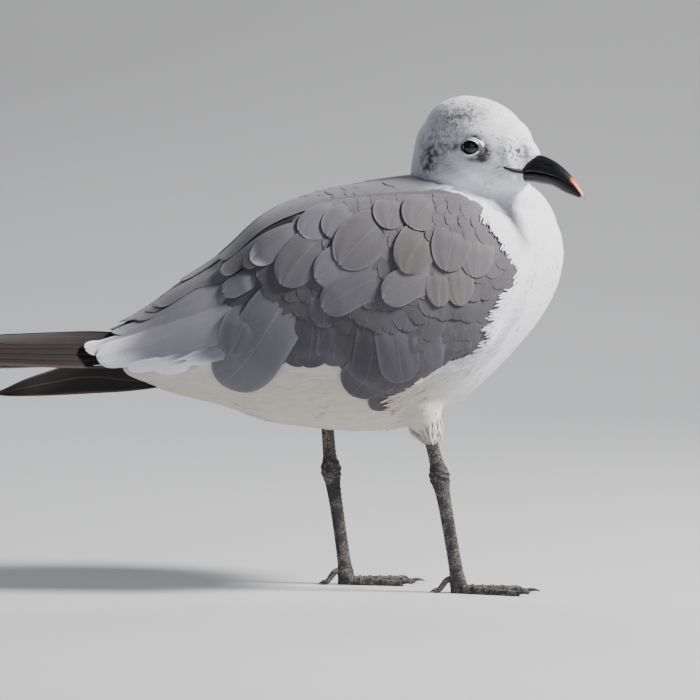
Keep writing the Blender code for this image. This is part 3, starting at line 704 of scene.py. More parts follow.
def lie(points):
    """The way the coat lies: back over the head from the bill, down the neck, back along the trunk, and down the
    thighs, blended by smooth steps of the place."""
    head = to_head(points)
    x, z = points[..., 0], points[..., 2]
    cosine, sine = math.cos(HEAD_TURN), math.sin(HEAD_TURN)
    ahead, beside = head[..., 0] - 34, head[..., 1] * 0.8
    back = np.stack((ahead * cosine + beside * sine, -ahead * sine + beside * cosine, (z - 197) * 0.8), -1)
    back = unit(back) + np.array((0.0, 0.0, -0.25))
    neck = np.broadcast_to(np.array((-0.35, 0.0, -1.0)), points.shape)
    front = smoothstep(x, 45, 80) * smoothstep(z, 95, 130)
    trunk = np.stack((-1 + 0.35 * front, 0 * x, -0.12 - 0.9 * front), -1)
    up = smoothstep(z, 186, 200)
    mid = smoothstep(z, 158, 182) * smoothstep(x, 30, 48)
    way = trunk * (1 - mid)[..., None] + neck * mid[..., None]
    way = way * (1 - up)[..., None] + back * up[..., None]
    for leg in LEGS.values():
        root, tuft = leg_points(leg, "root", "tuft")
        axis = unit(tuft - root)
        off = points - root
        apart = np.linalg.norm(off - (off @ axis)[..., None] * axis, axis=-1)
        near = smoothstep(-apart, -16, -10) * smoothstep(-z, -84, -74)
        way = way * (1 - near)[..., None] + axis * near[..., None]
    return unit(way)


# Length of the small feathers at distances from the root of the bill, and the most it is on the rump and the thighs.
LENGTHS = ((0, 1.8), (8, 2.4), (20, 3.4), (34, 4.6), (55, 7.0), (90, 10.5), (150, 13.5))
SHORT = 6.0
RUMP_END, THIGH_TOP = -84, 78


def feather_length(points):
    """Length of the small feathers: straight between the rows of LENGTHS, and short on the rump and the thighs."""
    bill = turned(np.array((20.0, 0.0, 198.0)))
    length = np.interp(np.linalg.norm(points - bill, axis=-1), *zip(*LENGTHS))
    short = (points[..., 0] < RUMP_END) | (points[..., 2] < THIGH_TOP)
    return np.where(short, np.minimum(length, SHORT), length)


def leg_points(leg, *keys):
    """Some of a leg's places."""
    return [np.array(leg[key], float) for key in keys]


def spread(spine, sideways, reach, across):
    """Points across feathers: the spine plus, sideways, half the width times each share across."""
    return spine[:, :, None] + sideways[:, :, None] * (reach[:, :, None] * across)[..., None]


def bed_frame(spine):
    """Directions at a spine on the bed: away from the bed, and across the spine."""
    outward = unit(onto_bed(spine, 3.0) - spine)
    return outward, unit(np.cross(unit(np.gradient(spine, axis=1)), outward))


class Skin:
    """The skin's points and normals, with its nearest point to any place."""

    def __init__(self, mesh):
        count = len(mesh.vertices)
        points, normals = np.empty(count * 3, np.float32), np.empty(count * 3, np.float32)
        mesh.vertices.foreach_get("co", points)
        mesh.vertices.foreach_get("normal", normals)
        self.points = points.reshape(-1, 3) / MM
        self.points[:, 0] -= SHIFT / MM
        self.normals = unit(normals.reshape(-1, 3))
        self.doubled = np.ascontiguousarray(2 * self.points.T)
        self.square = (self.points**2).sum(1)

    def nearest(self, places):
        """Numbers of the nearest points: the largest of 2 p.q - q.q over the skin's points q, a block at a time."""
        blocks = np.array_split(places.astype(np.float32), len(places) // 500 + 1)
        return np.concatenate([(block @ self.doubled - self.square).argmax(1) for block in blocks])

    def beneath(self, places):
        """The places set down on the skin's plane at its nearest point, with the normals there."""
        near = self.nearest(places)
        normal = self.normals[near]
        return places - ((places - self.points[near]) * normal).sum(1, keepdims=True) * normal, normal


def thinned(points, cell, rng):
    """Numbers of one random point in each cube of a grid whose side is cell."""
    order = rng.permutation(len(points))
    _, first = np.unique(np.floor(points[order] / cell).astype(int), axis=0, return_index=True)
    return order[first]


def through(first, middle, last, share):
    """The parabola through three points at shares 0, 1/2 and 1."""
    t, (a, b, c) = share[None, :, None], (row[:, None] for row in (first, middle, last))
    return a * (2 * t - 1) * (t - 1) + b * 4 * t * (1 - t) + c * t * (2 * t - 1)


TUFT_ROWS = TUFT_COLUMNS = 5
TUFT_SWAY = 0.12  # spread of the small feathers' directions, in radians
ROOT_DEPTH = 0.3  # share of its depth at which a small feather leaves the skin
TUFT_ARCH = 0.22  # how far a small feather's edges fall, as a share of its half width


def tuft_shape():
    """Shares along and across a tuft, its width at each row, and how far its frayed tip steps back."""
    run = np.linspace(0, 1, TUFT_ROWS)
    across = np.linspace(-1, 1, TUFT_COLUMNS)
    width = np.where(run < 0.5, 0.45 + 0.55 * np.sin(run * math.pi), np.cos((run - 0.5) / 0.5 * 1.12))
    fray = np.zeros((TUFT_ROWS, TUFT_COLUMNS))
    fray[-1] = np.where(np.arange(TUFT_COLUMNS) % 2 == 0, 0.10, -0.02) + 0.06 * across**2
    return run, across, width, fray


def tufts(skin, chosen, length, half, depth, tip, rng):
    """Small feathers on the skin. Each runs with the coat from its root, bends with the skin at its middle and tip,
    rises to depth on the way, sinks to the share tip of it at its end, and is arched across. Returns a grid of
    points for each, (n, rows, columns, 3), the roots, and normals near the skin's, so that the coat shades as one
    soft surface."""
    root, normal = skin.points[chosen], skin.normals[chosen]
    way = lie(root)
    way = unit(way - (way * normal).sum(1, keepdims=True) * normal)
    turn = rng.normal(0, TUFT_SWAY, (len(root), 1))
    way = unit(way * np.cos(turn) + np.cross(normal, way) * np.sin(turn))
    middle, middle_normal = skin.beneath(root + way * length[:, None] / 2)
    onward = unit(middle - root)
    onward = unit(onward - (onward * middle_normal).sum(1, keepdims=True) * middle_normal)
    last, last_normal = skin.beneath(middle + onward * length[:, None] / 2)
    run, across, width, fray = tuft_shape()
    spine = through(root, middle, last, run)
    up = unit(through(normal, middle_normal, last_normal, run))
    forward = unit(np.gradient(spine, axis=1))
    side = unit(np.cross(forward, up))
    reach = half[:, None] * width[None, :]
    rise = depth[:, None] * (ROOT_DEPTH + (1 - ROOT_DEPTH) * run[None, :] ** 0.8)
    rise = rise * rng.uniform(0.75, 1.1, (len(root), 1))
    rise = rise * (1 - (1 - np.reshape(tip, (-1, 1))) * smoothstep(run[None, :], 0.5, 1.0))
    out = spread(spine, side, reach, across)
    out += up[:, :, None] * (rise[:, :, None] - TUFT_ARCH * reach[:, :, None] * across**2)[..., None]
    uneven = rng.uniform(0.5, 1.5, (len(root), 1, 1))
    out -= forward[:, :, None] * (length[:, None, None] * fray[None] * uneven)[..., None]
    normals = unit(up[:, :, None] + TUFT_ARCH * side[:, :, None] * across[:, None])
    return out, root, np.broadcast_to(normals, out.shape)


def skin_place(points):
    """Where places lie on the skin laid flat: the angle round the body's axis, and the length along it."""
    high = points[:, 2] > HEAD_BASE
    trunk_angle = np.arctan2(points[:, 1], points[:, 2] - AXIS_HEIGHT)
    head_angle = np.arctan2(points[:, 1] + 8, points[:, 0] - 56)
    turn = np.where(high, head_angle, trunk_angle) / (2 * math.pi) + 0.5
    run = np.where(high, 0.72 + (points[:, 2] - HEAD_BASE) / 50 * 0.28, (points[:, 0] + 120) / 225 * 0.68)
    return np.stack((turn, run), -1)


def bake_places(roots, run, across, own):
    """Each feather's patch on the bake map: PATCH across at its root's place on the skin laid flat, or, for the few
    large feathers, a cell of its own as on a cutting sheet."""
    count = len(roots)
    grid = stacked((across[None, :] + 1) / 2, run[:, None])
    if own:
        side = math.ceil(math.sqrt(count))
        corner = np.stack((np.arange(count) % side, np.arange(count) // side), -1) / side
        return corner[:, None, None] + (0.06 + 0.88 * grid[None]) / side
    flat = skin_place(roots)
    flat = (flat - flat.min(0)) / np.ptp(flat, axis=0)
    return (0.004 + 0.988 * flat)[:, None, None] + (grid[None] - 0.5) * PATCH


def feather_piece(name, vanes, floats, material, nodes=(), own=False, solid=0.0, normals=None):
    """One piece from many feathers, given as their grids (n, rows, columns, 3), roots and shares along and across,
    with the map that runs along each and the bake map."""
    grids, roots, run, across = vanes
    count, rows, columns, _ = grids.shape
    quads = grid_quads(rows, columns)
    quads = (quads[None] + (np.arange(count) * rows * columns)[:, None, None]).reshape(-1, 4)
    mesh = new_mesh(name, grids, quads)
    vane = stacked((across[None, :] + 1) / 2, run[:, None])
    add_map(mesh, "Vane", np.broadcast_to(vane[None], (count, rows, columns, 2)), quads)
    add_map(mesh, "OFBake", bake_places(roots, run, across, own), quads)
    mesh.uv_layers["Vane"].active = True
    mesh.uv_layers["Vane"].active_render = True
    for key, values in floats.items():
        values = np.asarray(values, dtype=float)
        values = values[..., None, None] if values.ndim < 3 else values
        add_floats(mesh, key, np.broadcast_to(values, (count, rows, columns)))
    if normals is not None:
        vectors = mesh.attributes.new("custom_normal", "FLOAT_VECTOR", "POINT")
        vectors.data.foreach_set("vector", normals.astype(np.float32).ravel())
    piece = place(mesh, name, material, nodes)
    if solid:
        thick = piece.modifiers.new("thickness", "SOLIDIFY")
        thick.thickness = solid * MM
        thick.offset = -1
    return piece


VANES = {  # the large feathers' slots: the name of the material, and the colours of the vane, its wear and its rim; for the white ones the wear colour is the belly's, which is painted shade
    "grey_feather": ("grey_vane", "grey", "brown", "pale_grey"),
    "white_feather": ("white_vane", "white", "belly", "white"),
    "dark_feather": ("dark_vane", "primary", "worn_primary", "primary_rim"),
}


def large_feathers(name, vanes, floats, slot, nodes=(), solid=0.0):
    """A piece of large feathers of one of the kinds in VANES, each with a cell of its own on the bake map."""
    name_of, *keys = VANES[slot]
    material = made(name_of, vane_plumage, *(getattr(colours(), key) for key in (*keys, "white")))
    floats = {"white": 0.0, "brown": 0.0, "frost": 0.0, **floats}
    feather_piece(name, vanes, floats, material, nodes, own=True, solid=solid)


def coat_feathers(name, vanes, floats, normals):
    """A piece of small feathers, which the wings don't cover."""
    material = made("coat_plumage", soft_plumage, colours(), True)
    feather_piece(name, vanes, {**floats, "covered": 0.0}, material, normals=normals)


def vane_shape(rows, columns):
    """Shares along a large feather, close together towards its tip, and across it, the shaft at 0."""
    share = np.linspace(0, 1, rows)
    return 1 - (1 - share) ** 1.7, np.linspace(-1, 1, columns)


def vane_width(run, half, length, root, blunt):
    """Half the width along a feather: from root times the full width it fills out by a third of the way, and its
    tip is an ellipse whose length is blunt times its width."""
    filled = root + (1 - root) * np.sin(np.clip(run / 0.35, 0, 1) * math.pi / 2)
    start = 1 - np.clip(blunt * half / length, 0.05, 0.9)
    share = np.clip((run - start) / (1 - start), 0, 1)
    return half * filled * np.sqrt(np.clip(1 - share**2, 0.0009, 1))


VANE_ROOT = 0.55  # a large feather's width at its root, as a share of its full width
VANE_SINK = 2.6  # how far the lowest layer lies in the wing's thickness
STAND = 0.65  # share of a table's stand-off that a tip takes


def wing_vanes(table, side, rng, rows, columns, lift_step, bend=0.0, blunt=1.0, cup=0.35, tuck=2.2, follow=0.0):
    """Large feathers laid on the wing: straight from root to tip as seen from the side, set down on the bed raised
    by the wing's thickness and the feather's layer, standing off at the tip and tucked in at the root, with edges
    drawn down by cup, and sunk where they meet the mantle. A feather takes the wing's thickness under its shaft, or,
    by the share follow, under each of its points. The directions it faces lean with the slope of the wing fore and
    aft. Returns their grids, roots and shares along and across, what their points carry, and those directions."""
    table = np.asarray(table, dtype=float)
    start = beside_bed(table[:, 0], table[:, 1], side)
    end = beside_bed(table[:, 2], table[:, 3], side)
    run, across = vane_shape(rows, columns)
    half, layer, stand = table[:, 4], table[:, 5], STAND * table[:, 6]
    length = np.linalg.norm(end - start, axis=1)
    spine = start[:, None] + (end - start)[:, None] * run[None, :, None]
    spine[..., 2] += bend * length[:, None] * np.sin(math.pi * run)[None]
    spine = onto_bed(spine, 1.0)
    outward, sideways = bed_frame(spine)
    flat = spread(spine, sideways, vane_width(run[None], half[:, None], length[:, None], VANE_ROOT, blunt), across)
    base = lift_step * layer[:, None] - VANE_SINK
    depth = wing_depth(spine)[:, :, None] * (1 - follow) + wing_depth(flat) * follow
    level = base + stand[:, None] * run[None] ** 1.7 - tuck * np.clip(1 - run[None] / 0.45, 0, 1) ** 1.5
    arch = cup * (across[None, None] ** 2) * (0.4 + 0.6 * (1 - run[None, :, None]))
    ripple = 0.10 * np.sin(across * 9 + rng.uniform(0, 6, (len(table), 1, 1)) + 5 * run[None, :, None])
    seam = 1.7 * smoothstep(-wing_share(flat), -0.2, 0.02)
    out = onto_bed(flat, depth + level[:, :, None] - arch - seam + ripple)
    beyond = np.clip(BED_TABLE[0, 0] - flat[..., 0], 0, None)
    out[..., 1] -= side * beyond * 0.30
    out[..., 1] = side * np.maximum(side * out[..., 1], 0.4)
    floats = {
        "tone": table[:, 9] + rng.uniform(-0.15, 0.15, len(table)),
        "length": length,
        "width": half,
        "white": table[:, 7],
        "brown": table[:, 8],
        "frost": frost(out),
    }
    before, behind = (onto_bed(spine + (x, 0, 0), wing_depth(spine + (x, 0, 0))) for x in (3.0, -3.0))
    slope = unit(before - behind)
    facing = unit(outward - slope * (outward * slope).sum(-1, keepdims=True))
    return (out, start, run, across), floats, np.broadcast_to(facing[:, :, None], out.shape)


def frost(points):
    """How far the grey goes over to white: a smooth step over 7 mm along the wing's upper front edge."""
    share = wing_share(points)
    edge = along(WING_FRONT, np.clip(share, 0, 1))
    near = smoothstep(points[..., 0] - edge, -8, -1)
    return near * smoothstep(-share, -0.42, -0.25)


# ---------------------------------------------------------------- settings


class GullSizes(bpy.types.PropertyGroup):
    head_depth: bpy.props.FloatProperty(
        name="Head coat", description="Depth of the feathers on the head", default=0.7 * MM, unit="LENGTH"
    )
    body_depth: bpy.props.FloatProperty(
        name="Body coat", description="Depth of the feathers on the body", default=1.5 * MM, unit="LENGTH"
    )
    skin_detail: bpy.props.FloatProperty(
        name="Skin detail", description="Side of the skin's faces", default=1.05 * MM, unit="LENGTH"
    )
    fullness: bpy.props.FloatProperty(
        name="Fullness", description="How closely the small feathers stand", default=1.0, min=0.3, max=1.6
    )


def colour_property(name, description, default):
    return bpy.props.FloatVectorProperty(
        name=name, description=description, default=default, subtype="COLOR", min=0, max=1
    )


class GullColours(bpy.types.PropertyGroup):
    white: colour_property("White", "Head, neck and breast", (0.78, 0.79, 0.85))
    # Belly: the white underside painted darker and cream, as shade and reflected light.
    belly: colour_property("Belly", "Underside", (0.55, 0.495, 0.41))
    dusk: colour_property("Dusky marks", "Smudges on the head", (0.075, 0.072, 0.085))
    # A grey painted as shade on the skin where the wing feathers lie over it.
    shadow: colour_property("Painted shade", "Down under the wing feathers", (0.10, 0.10, 0.115))
    grey: colour_property("Wing grey", "Mantle and wings", (0.126, 0.124, 0.144))
    pale_grey: colour_property("Pale rims", "Rims of the grey feathers", (0.33, 0.32, 0.36))
    worn_primary: colour_property("Worn flight feathers", "Brown of the flight feathers", (0.048, 0.040, 0.040))
    brown: colour_property("Worn feathers", "Old brownish feathers", (0.136, 0.122, 0.122))
    primary: colour_property("Wing tips", "Primaries", (0.0187, 0.0144, 0.0137))
    primary_rim: colour_property("Primary shafts", "Shafts and rims of the primaries", (0.16, 0.13, 0.12))
    bill: colour_property("Bill", "Horn of the bill", (0.007, 0.007, 0.010))
    bill_mark: colour_property("Bill mark", "Red mark near the tip of the bill", (0.72, 0.13, 0.03))
    leg: colour_property("Legs", "Scales of the legs", (0.036, 0.033, 0.038))
    # Pale scale edges: painted highlights on the front plates and on some small scales.
    leg_highlight: colour_property("Scale edges", "Pale rims of the leg scales", (0.40, 0.37, 0.33))


def sizes():
    return bpy.context.scene.gull_sizes


def colours():
    return bpy.context.scene.gull_colours


MADE = {}


def made(name, build, *values):
    """A material that several pieces share, built the first time."""
    if name not in MADE:
        MADE[name] = build(name, *values)
    return MADE[name]


# ---------------------------------------------------------------- the pieces


def skin_grids():
    """The flesh as closed lofts, each drawn in by the coat's depth: trunk, neck, head, thighs and wing beds."""
    head_depth, body_depth = sizes().head_depth / MM, sizes().body_depth / MM
    trunk = upright_rings(smooth_rows(TRUNK, 4), 48, TRUNK_SQUARENESS, -body_depth)
    rows = smooth_rows(NECK, 4)
    height, x, y, length, width = rows.T[:, :, None]
    angle = full_turn(40)
    inset = 0.8 * head_depth + 0.2 * body_depth
    length, width = (np.maximum(reach - inset, 0.02) for reach in (length, width))
    neck = np.stack((x + length * np.cos(angle), y + width * np.sin(angle), height + 0 * angle), -1)
    head = turned(upright_rings(smooth_rows(FACE, 4), 40, HEAD_SQUARENESS, -head_depth))
    grids = [capped(trunk), capped(neck), capped(head)]
    for leg in LEGS.values():
        root, tuft, ankle = leg_points(leg, "root", "tuft", "ankle")
        thigh = tuft - root
        path = smooth_rows((root, root + 0.35 * thigh, root + 0.8 * thigh, tuft, tuft + 0.15 * (ankle - tuft)), 4)
        radii = smooth_rows([(r,) for r in (*(r - 1.0 for r in THIGH_RADII), 2.0)], 4)[:, 0]
        grids.append(capped(tube_rings(path, radii, 20)))
    across = np.linspace(0, 1, 25)[None, :]
    share = np.linspace(0, 1, 60)[:, None]
    x = (along(WING_REAR, across) + 3) * (1 - share) + (along(WING_FRONT, across) - 3) * share
    low = bed_angle(x, along(WING_LOW_EDGE, x) + 2.5)
    angle = np.radians(along(MANTLE_EDGE, x)) * (1 - across) + low * across
    level = on_bed(x, angle, 0.0)
    outer = on_bed(x, angle, wing_depth(level) - 3.2)
    inner = on_bed(x, angle, -5.0)
    for side in (-1, 1):
        ring = np.concatenate((outer, inner[:, ::-1]), axis=1)
        ring[..., 1] *= side
        grids.append(capped(ring))
    return grids


def shaped_head(points, normals):
    """Small forms on the head: a hollow round each eye, a brow over it, a cheek below, and a crease at the gape."""
    head = to_head(points)
    side = smoothstep(np.abs(head[:, 1]), 6, 12) * smoothstep(points[:, 2], 187, 192)
    return points + normals * (side * spots(head, HEAD_FORMS))[:, None]


class GULL_OT_skin(bpy.types.Operator):
    """One skin for the head, neck, trunk, wings and thighs"""

    bl_idname = "gull.skin"
    bl_label = "Skin"

    def execute(self, context):
        rough = weld(loft("skin_form", *skin_grids()))
        holder = bpy.data.objects.new("skin_form", rough)
        context.scene.collection.objects.link(holder)
        remesh = holder.modifiers.new("one_surface", "REMESH")
        remesh.mode = "VOXEL"
        remesh.voxel_size = sizes().skin_detail
        smooth = holder.modifiers.new("soften", "SMOOTH")
        smooth.factor, smooth.iterations = 0.5, 5
        mesh = bpy.data.meshes.new_from_object(holder.evaluated_get(context.evaluated_depsgraph_get()))
        bpy.data.objects.remove(holder)
        mesh.name = "skin"
        skin = Skin(mesh)
        moved = shaped_head(skin.points, skin.normals) * MM
        moved[:, 0] += SHIFT
        mesh.vertices.foreach_set("co", moved.astype(np.float32).ravel())
        mesh.update()
        skin = Skin(mesh)
        for key, values in markings(skin.points).items():
            add_floats(mesh, key, values)
        mesh.materials.clear()
        nodes = ["head", "neck", "trunk", "rump", "mantle", "wing_right", "wing_left", "thigh_right", "thigh_left"]
        place(mesh, "skin", made("skin_plumage", soft_plumage, colours(), False), nodes)
        MADE["skin"] = skin
        return {"FINISHED"}


# Bands of the coat by the feathers' length: (name, least, most, gap between roots and half width as shares of the
# length, depth).
COAT_BANDS = (
    ("face", 0, 2.6, 0.50, 0.32, 0.26), ("crown", 2.6, 4.6, 0.38, 0.26, 0.34), ("neck", 4.6, 7.6, 0.28, 0.22, 0.48),
    ("breast", 7.6, 11.2, 0.21, 0.18, 0.62), ("belly", 11.2, 30, 0.18, 0.15, 0.70),
)
LONGEST = 13.5  # of all of them
COAT_MARGINS, SHADE_MARGINS = (4.5, 1.5), (11.0, 6.0)  # how far the coat, and the skin's white before the painted shade, reach under the wing
PIECE_LIMIT = 6000  # feathers in one piece
THIGH_FRINGE = 1100
WING_FRINGE = (3400, 2800)  # feathers along the wing's front and along its low edge


def coat_pieces(name, skin, chosen, shapes, rng):
    """Tufts of the given lengths, half widths, depths and tips on the chosen points of the skin, as pieces of at
    most PIECE_LIMIT."""
    for part in range(0, len(chosen), PIECE_LIMIT):
        cut = slice(part, part + PIECE_LIMIT)
        grids, roots, normals = tufts(skin, chosen[cut], *(values[cut] for values in shapes), rng)
        floats = {**markings(grids), "tone": rng.uniform(-1, 1, len(roots))}
        suffix = "" if part == 0 else f"_{part // PIECE_LIMIT + 1}"
        coat_feathers(name + suffix, (grids, roots, *tuft_shape()[:2]), floats, normals)


def fringe_piece(name, vanes, normals, rng):
    """A piece of thin feathers without the marks of the head."""
    floats = {**markings(vanes[0]), "dusk": 0.0, "specks": 0.0, "tone": rng.uniform(-1, 1, len(vanes[1]))}
    coat_feathers(name, vanes, floats, normals)


class GULL_OT_coat(bpy.types.Operator):
    """Small feathers on the head, neck, breast, belly and thighs"""

    bl_idname = "gull.coat"
    bl_label = "Body feathers"

    def execute(self, context):
        skin, rng = MADE["skin"], np.random.default_rng(11)
        all_length = feather_length(skin.points)
        head = to_head(skin.points)
        side = np.abs(head[:, 1])
        round_eye = ((head[:, 0] - 0.1) / 5.3) ** 2 + ((head[:, 2] - EYE_HEIGHT) / 4.1) ** 2
        free = (covered(skin.points, *COAT_MARGINS) < 0.5) & ~((round_eye < 1) & (side > 9))
        free &= skin.points[:, 2] > np.where(skin.points[:, 0] > 12, 70.5, 74.0)
        for name, low, high, gap, shape, deep in COAT_BANDS:
            band = np.nonzero(free & (all_length >= low) & (all_length < high))[0]
            cell = gap * (low + min(high, LONGEST)) / 2 / sizes().fullness
            chosen = band[thinned(skin.points[band], max(cell, 1.0), rng)]
            length = all_length[chosen] * rng.uniform(0.85, 1.2, len(chosen))
            half = length * shape * rng.uniform(0.8, 1.2, len(chosen))
            depth = deep * rng.uniform(0.6, 1.25, len(chosen))
            low_thigh = skin.points[chosen, 2] < np.where(skin.points[chosen, 0] > 24, 77, 74)
            ragged = rng.uniform(0.8, 2.4, len(chosen))
            tip = np.where(low_thigh, ragged, np.where(rng.random(len(chosen)) < 0.08, 1.0, 0.4))
            length = np.where(low_thigh, rng.uniform(6.0, 10.5, len(chosen)), length)
            half = np.where(low_thigh, 0.75, half)
            coat_pieces(f"{name}_feathers", skin, chosen, (length, half, depth, tip), rng)
        for name, leg in LEGS.items():
            self.thigh_fringe(name, leg, rng)
        return {"FINISHED"}

    def thigh_fringe(self, name, leg, rng):
        """Thin feathers round a thigh's lower end: each starts on the cone between the leg's root and its tuft, runs
        down and inwards towards the shank, bowed outwards by a sine, and ends at its own height."""
        root, tuft = leg_points(leg, "root", "tuft")
        share = rng.uniform(0.05, 0.50, THIGH_FRINGE)
        turn = rng.uniform(0, 2 * math.pi, share.size)
        down = unit(tuft - root)
        fore = unit(np.cross(down, np.array((0.0, 1.0, 0.0))))
        beside = np.cross(down, fore)
        outward = np.cos(turn)[:, None] * fore + np.sin(turn)[:, None] * beside
        radius = np.interp(share, (0, 0.33, 0.67, 1), THIGH_RADII[::-1])
        start = tuft + (root - tuft) * share[:, None] + outward * (radius - 0.8)[:, None]
        way = unit(down + outward * rng.uniform(-0.62, -0.22, share.size)[:, None] + rng.normal(0, 0.13, start.shape))
        length = np.clip((start[:, 2] - tuft[2] + rng.uniform(-3.0, 2.5, share.size)) / -way[:, 2], 3.0, 8.5)
        run, across = vane_shape(7, 3)
        spine = start[:, None] + way[:, None] * (length[:, None] * run)[..., None]
        spine += outward[:, None] * (0.9 * np.sin(math.pi * run))[None, :, None]
        wide = vane_width(run[None], (length * 0.055)[:, None], length[:, None], 0.6, 7.0)
        grids = spread(spine, unit(np.cross(way, outward))[:, None], wide, across)
        normals = np.broadcast_to(outward[:, None, None], grids.shape)
        fringe_piece(f"thigh_fringe_{name}", (grids, start, run, across), normals, rng)


GROUND_ROW, GROUND_STEP = 0.075, 6.0  # between the medium feathers: down the wing, and along it
SHOULDER = 40  # x ahead of which they are smaller
GROUND_LENGTH, GROUND_HALF = (13.0, 18.0), (5.6, 7.5)  # ahead of it, and behind it


def ground_front(share):
    """How far forward the medium feathers reach: behind the wing's front, and farther behind it lower down."""
    return along(WING_FRONT, share) - 1.5 - 2.0 * smoothstep(share, 0.2, 0.45) - 11.0 * smoothstep(share, 0.68, 0.84)


def wing_ground(side, rng):
    """Roots and tips of the medium feathers that cover the wing before its long rear feathers, row by row down it:
    each runs back and a little down at the top, and hangs more steeply towards the low edge and the front."""
    rows = []
    for share in np.arange(0.03, 0.97, GROUND_ROW):
        x = np.arange(-48, 83, GROUND_STEP) + rng.uniform(-1.5, 1.5)
        behind = -46 + 16 * smoothstep(share, 0.3, 0.6) + 40 * smoothstep(-share, -0.32, -0.22)
        x = x[(x < ground_front(share)) & (x > behind)]
        height = wing_height(x, share)
        hang = smoothstep(share, 0.25, 0.6) * smoothstep(x, -45, -10)
        reach = np.where(x > SHOULDER, *GROUND_LENGTH)
        steep = np.radians(18 + 62 * hang)
        back = x - reach * np.cos(steep)
        end = np.maximum(height - reach * np.sin(steep), along(WING_LOW_EDGE, back) + 2.5)
        half = np.where(x > SHOULDER, *GROUND_HALF)
        layer = 0.5 + 1.6 * (1 - share) + 0.3 * hang
        # Darker down the wing: painted shade on the lower, downward-facing coverts, over a random tone.
        tone = rng.uniform(-0.3, 0.3, len(x)) - 0.2 - 1.4 * smoothstep(share, 0.2, 0.7)
        brown = rng.uniform(0, 0.25, len(x)) + 0.35 * smoothstep(x, 10, 50) * smoothstep(height, 135, 165)
        rows.append(np.stack((x, height, back, end, half, layer, 0.6 + 0 * x, 0 * x, brown, tone), -1))
    table = np.vstack(rows)
    share = np.clip(wing_share(beside_bed(table[:, 2], table[:, 3], side)), 0, 1)
    table = table[table[:, 2] < ground_front(share)]
    return table[rng.permutation(len(table))]


class GULL_OT_wings(bpy.types.Operator):
    """Feathers of the folded wings, and the white ones beside them"""

    bl_idname = "gull.wings"
    bl_label = "Wing feathers"

    def execute(self, context):
        rng = np.random.default_rng(23)
        for name, side in SIDES:
            for part, table, bold, rows, columns, options in (
                ("covert_ground", wing_ground(side, rng), 0.08, 11, 7,
                 {"lift_step": 0.14, "cup": 0.2, "tuck": 1.2, "follow": 0.7}),
                ("rear_feathers", REAR_FEATHERS, 0.40, 21, 11,
                 {"lift_step": 0.25, "blunt": 1.25, "bend": -0.03, "cup": 0.6}),
                ("hanging_coverts", HANGING_FEATHERS, 0.24, 21, 11,
                 {"lift_step": 0.17, "blunt": 1.1, "tuck": 1.8, "follow": 0.4}),
                ("scapulars", SCAPULARS, 0.24, 21, 11,
                 {"lift_step": 0.20, "blunt": 1.15, "bend": 0.04, "tuck": 1.6}),
            ):
                vanes, floats, _ = wing_vanes(table, side, rng, rows, columns, **options)
                large_feathers(f"{part}_{name}", vanes, {**floats, "bold": bold}, "grey_feather")
            self.fringe(name, side, rng)
        return {"FINISHED"}

    def fringe(self, name, side, rng):
        """Thin white feathers rooted on the breast beside the wing, lying back over its front and low edges."""
        share = rng.uniform(0.14, 1.0, WING_FRINGE[0])
        x = along(WING_FRONT, share)
        front = np.stack((x + rng.uniform(-2.5, 5.0, x.size), wing_height(x, share)), -1)
        x = rng.uniform(22, 76, WING_FRINGE[1])
        back, down = rng.uniform(0, 4.0, x.size), rng.uniform(-1.0, 5.5, x.size)
        start = np.vstack((front, np.stack((x + back, along(WING_LOW_EDGE, x) - down), -1)))
        upper = smoothstep(start[:, 1], 140, 152)
        lower = smoothstep(-start[:, 1], -124, -108)
        way = np.stack((-1 + 0.5 * upper, -0.20 - 0.8 * upper - 0.30 * lower), -1) + rng.normal(0, 0.13, start.shape)
        length = 3.5 + 7.5 * rng.beta(2.0, 2.2, len(start)) + 3.0 * lower * rng.uniform(0, 1, len(start))
        end = start + unit(way) * length[:, None]
        half = length * rng.uniform(0.035, 0.065, len(start))
        layer, stand = rng.uniform(1.4, 3.4, len(start)), rng.uniform(0.0, 0.4, len(start))
        table = np.column_stack((start, end, half, layer, stand, np.zeros((len(start), 3))))
        vanes, _, normals = wing_vanes(table, side, rng, 6, 3, lift_step=0.38, blunt=7.0, cup=0.1, tuck=0.6)
        fringe_piece(f"wing_fringe_{name}", vanes, normals, rng)


def back_vanes(x, angle, reach, drift, half, lift, rows=9, columns=7):
    """Feathers over the back, from an x and an angle on the bed: back by reach and round it by drift radians."""
    run, across = vane_shape(rows, columns)
    line = x[:, None] - reach[:, None] * run
    turn = angle[:, None] + drift[:, None] * run
    spine = on_bed(line, turn, 1.0)
    _, sideways = bed_frame(spine)
    flat = spread(spine, sideways, vane_width(run[None], half[:, None], reach[:, None], VANE_ROOT, 1.0), across)
    level = (lift[:, None] + 0.6 * run[None])[:, :, None] - 0.35 * across**2 * (1 - 0.5 * run[None, :, None])
    return onto_bed(flat, level), spine[:, 0], run, across


MANTLE_REACH = 19.0  # length of the mantle's feathers
GAP_ANGLE, GAP_REACH = 37.0, 46.0  # of the dark vanes painted as the shade in the gap between the tertials
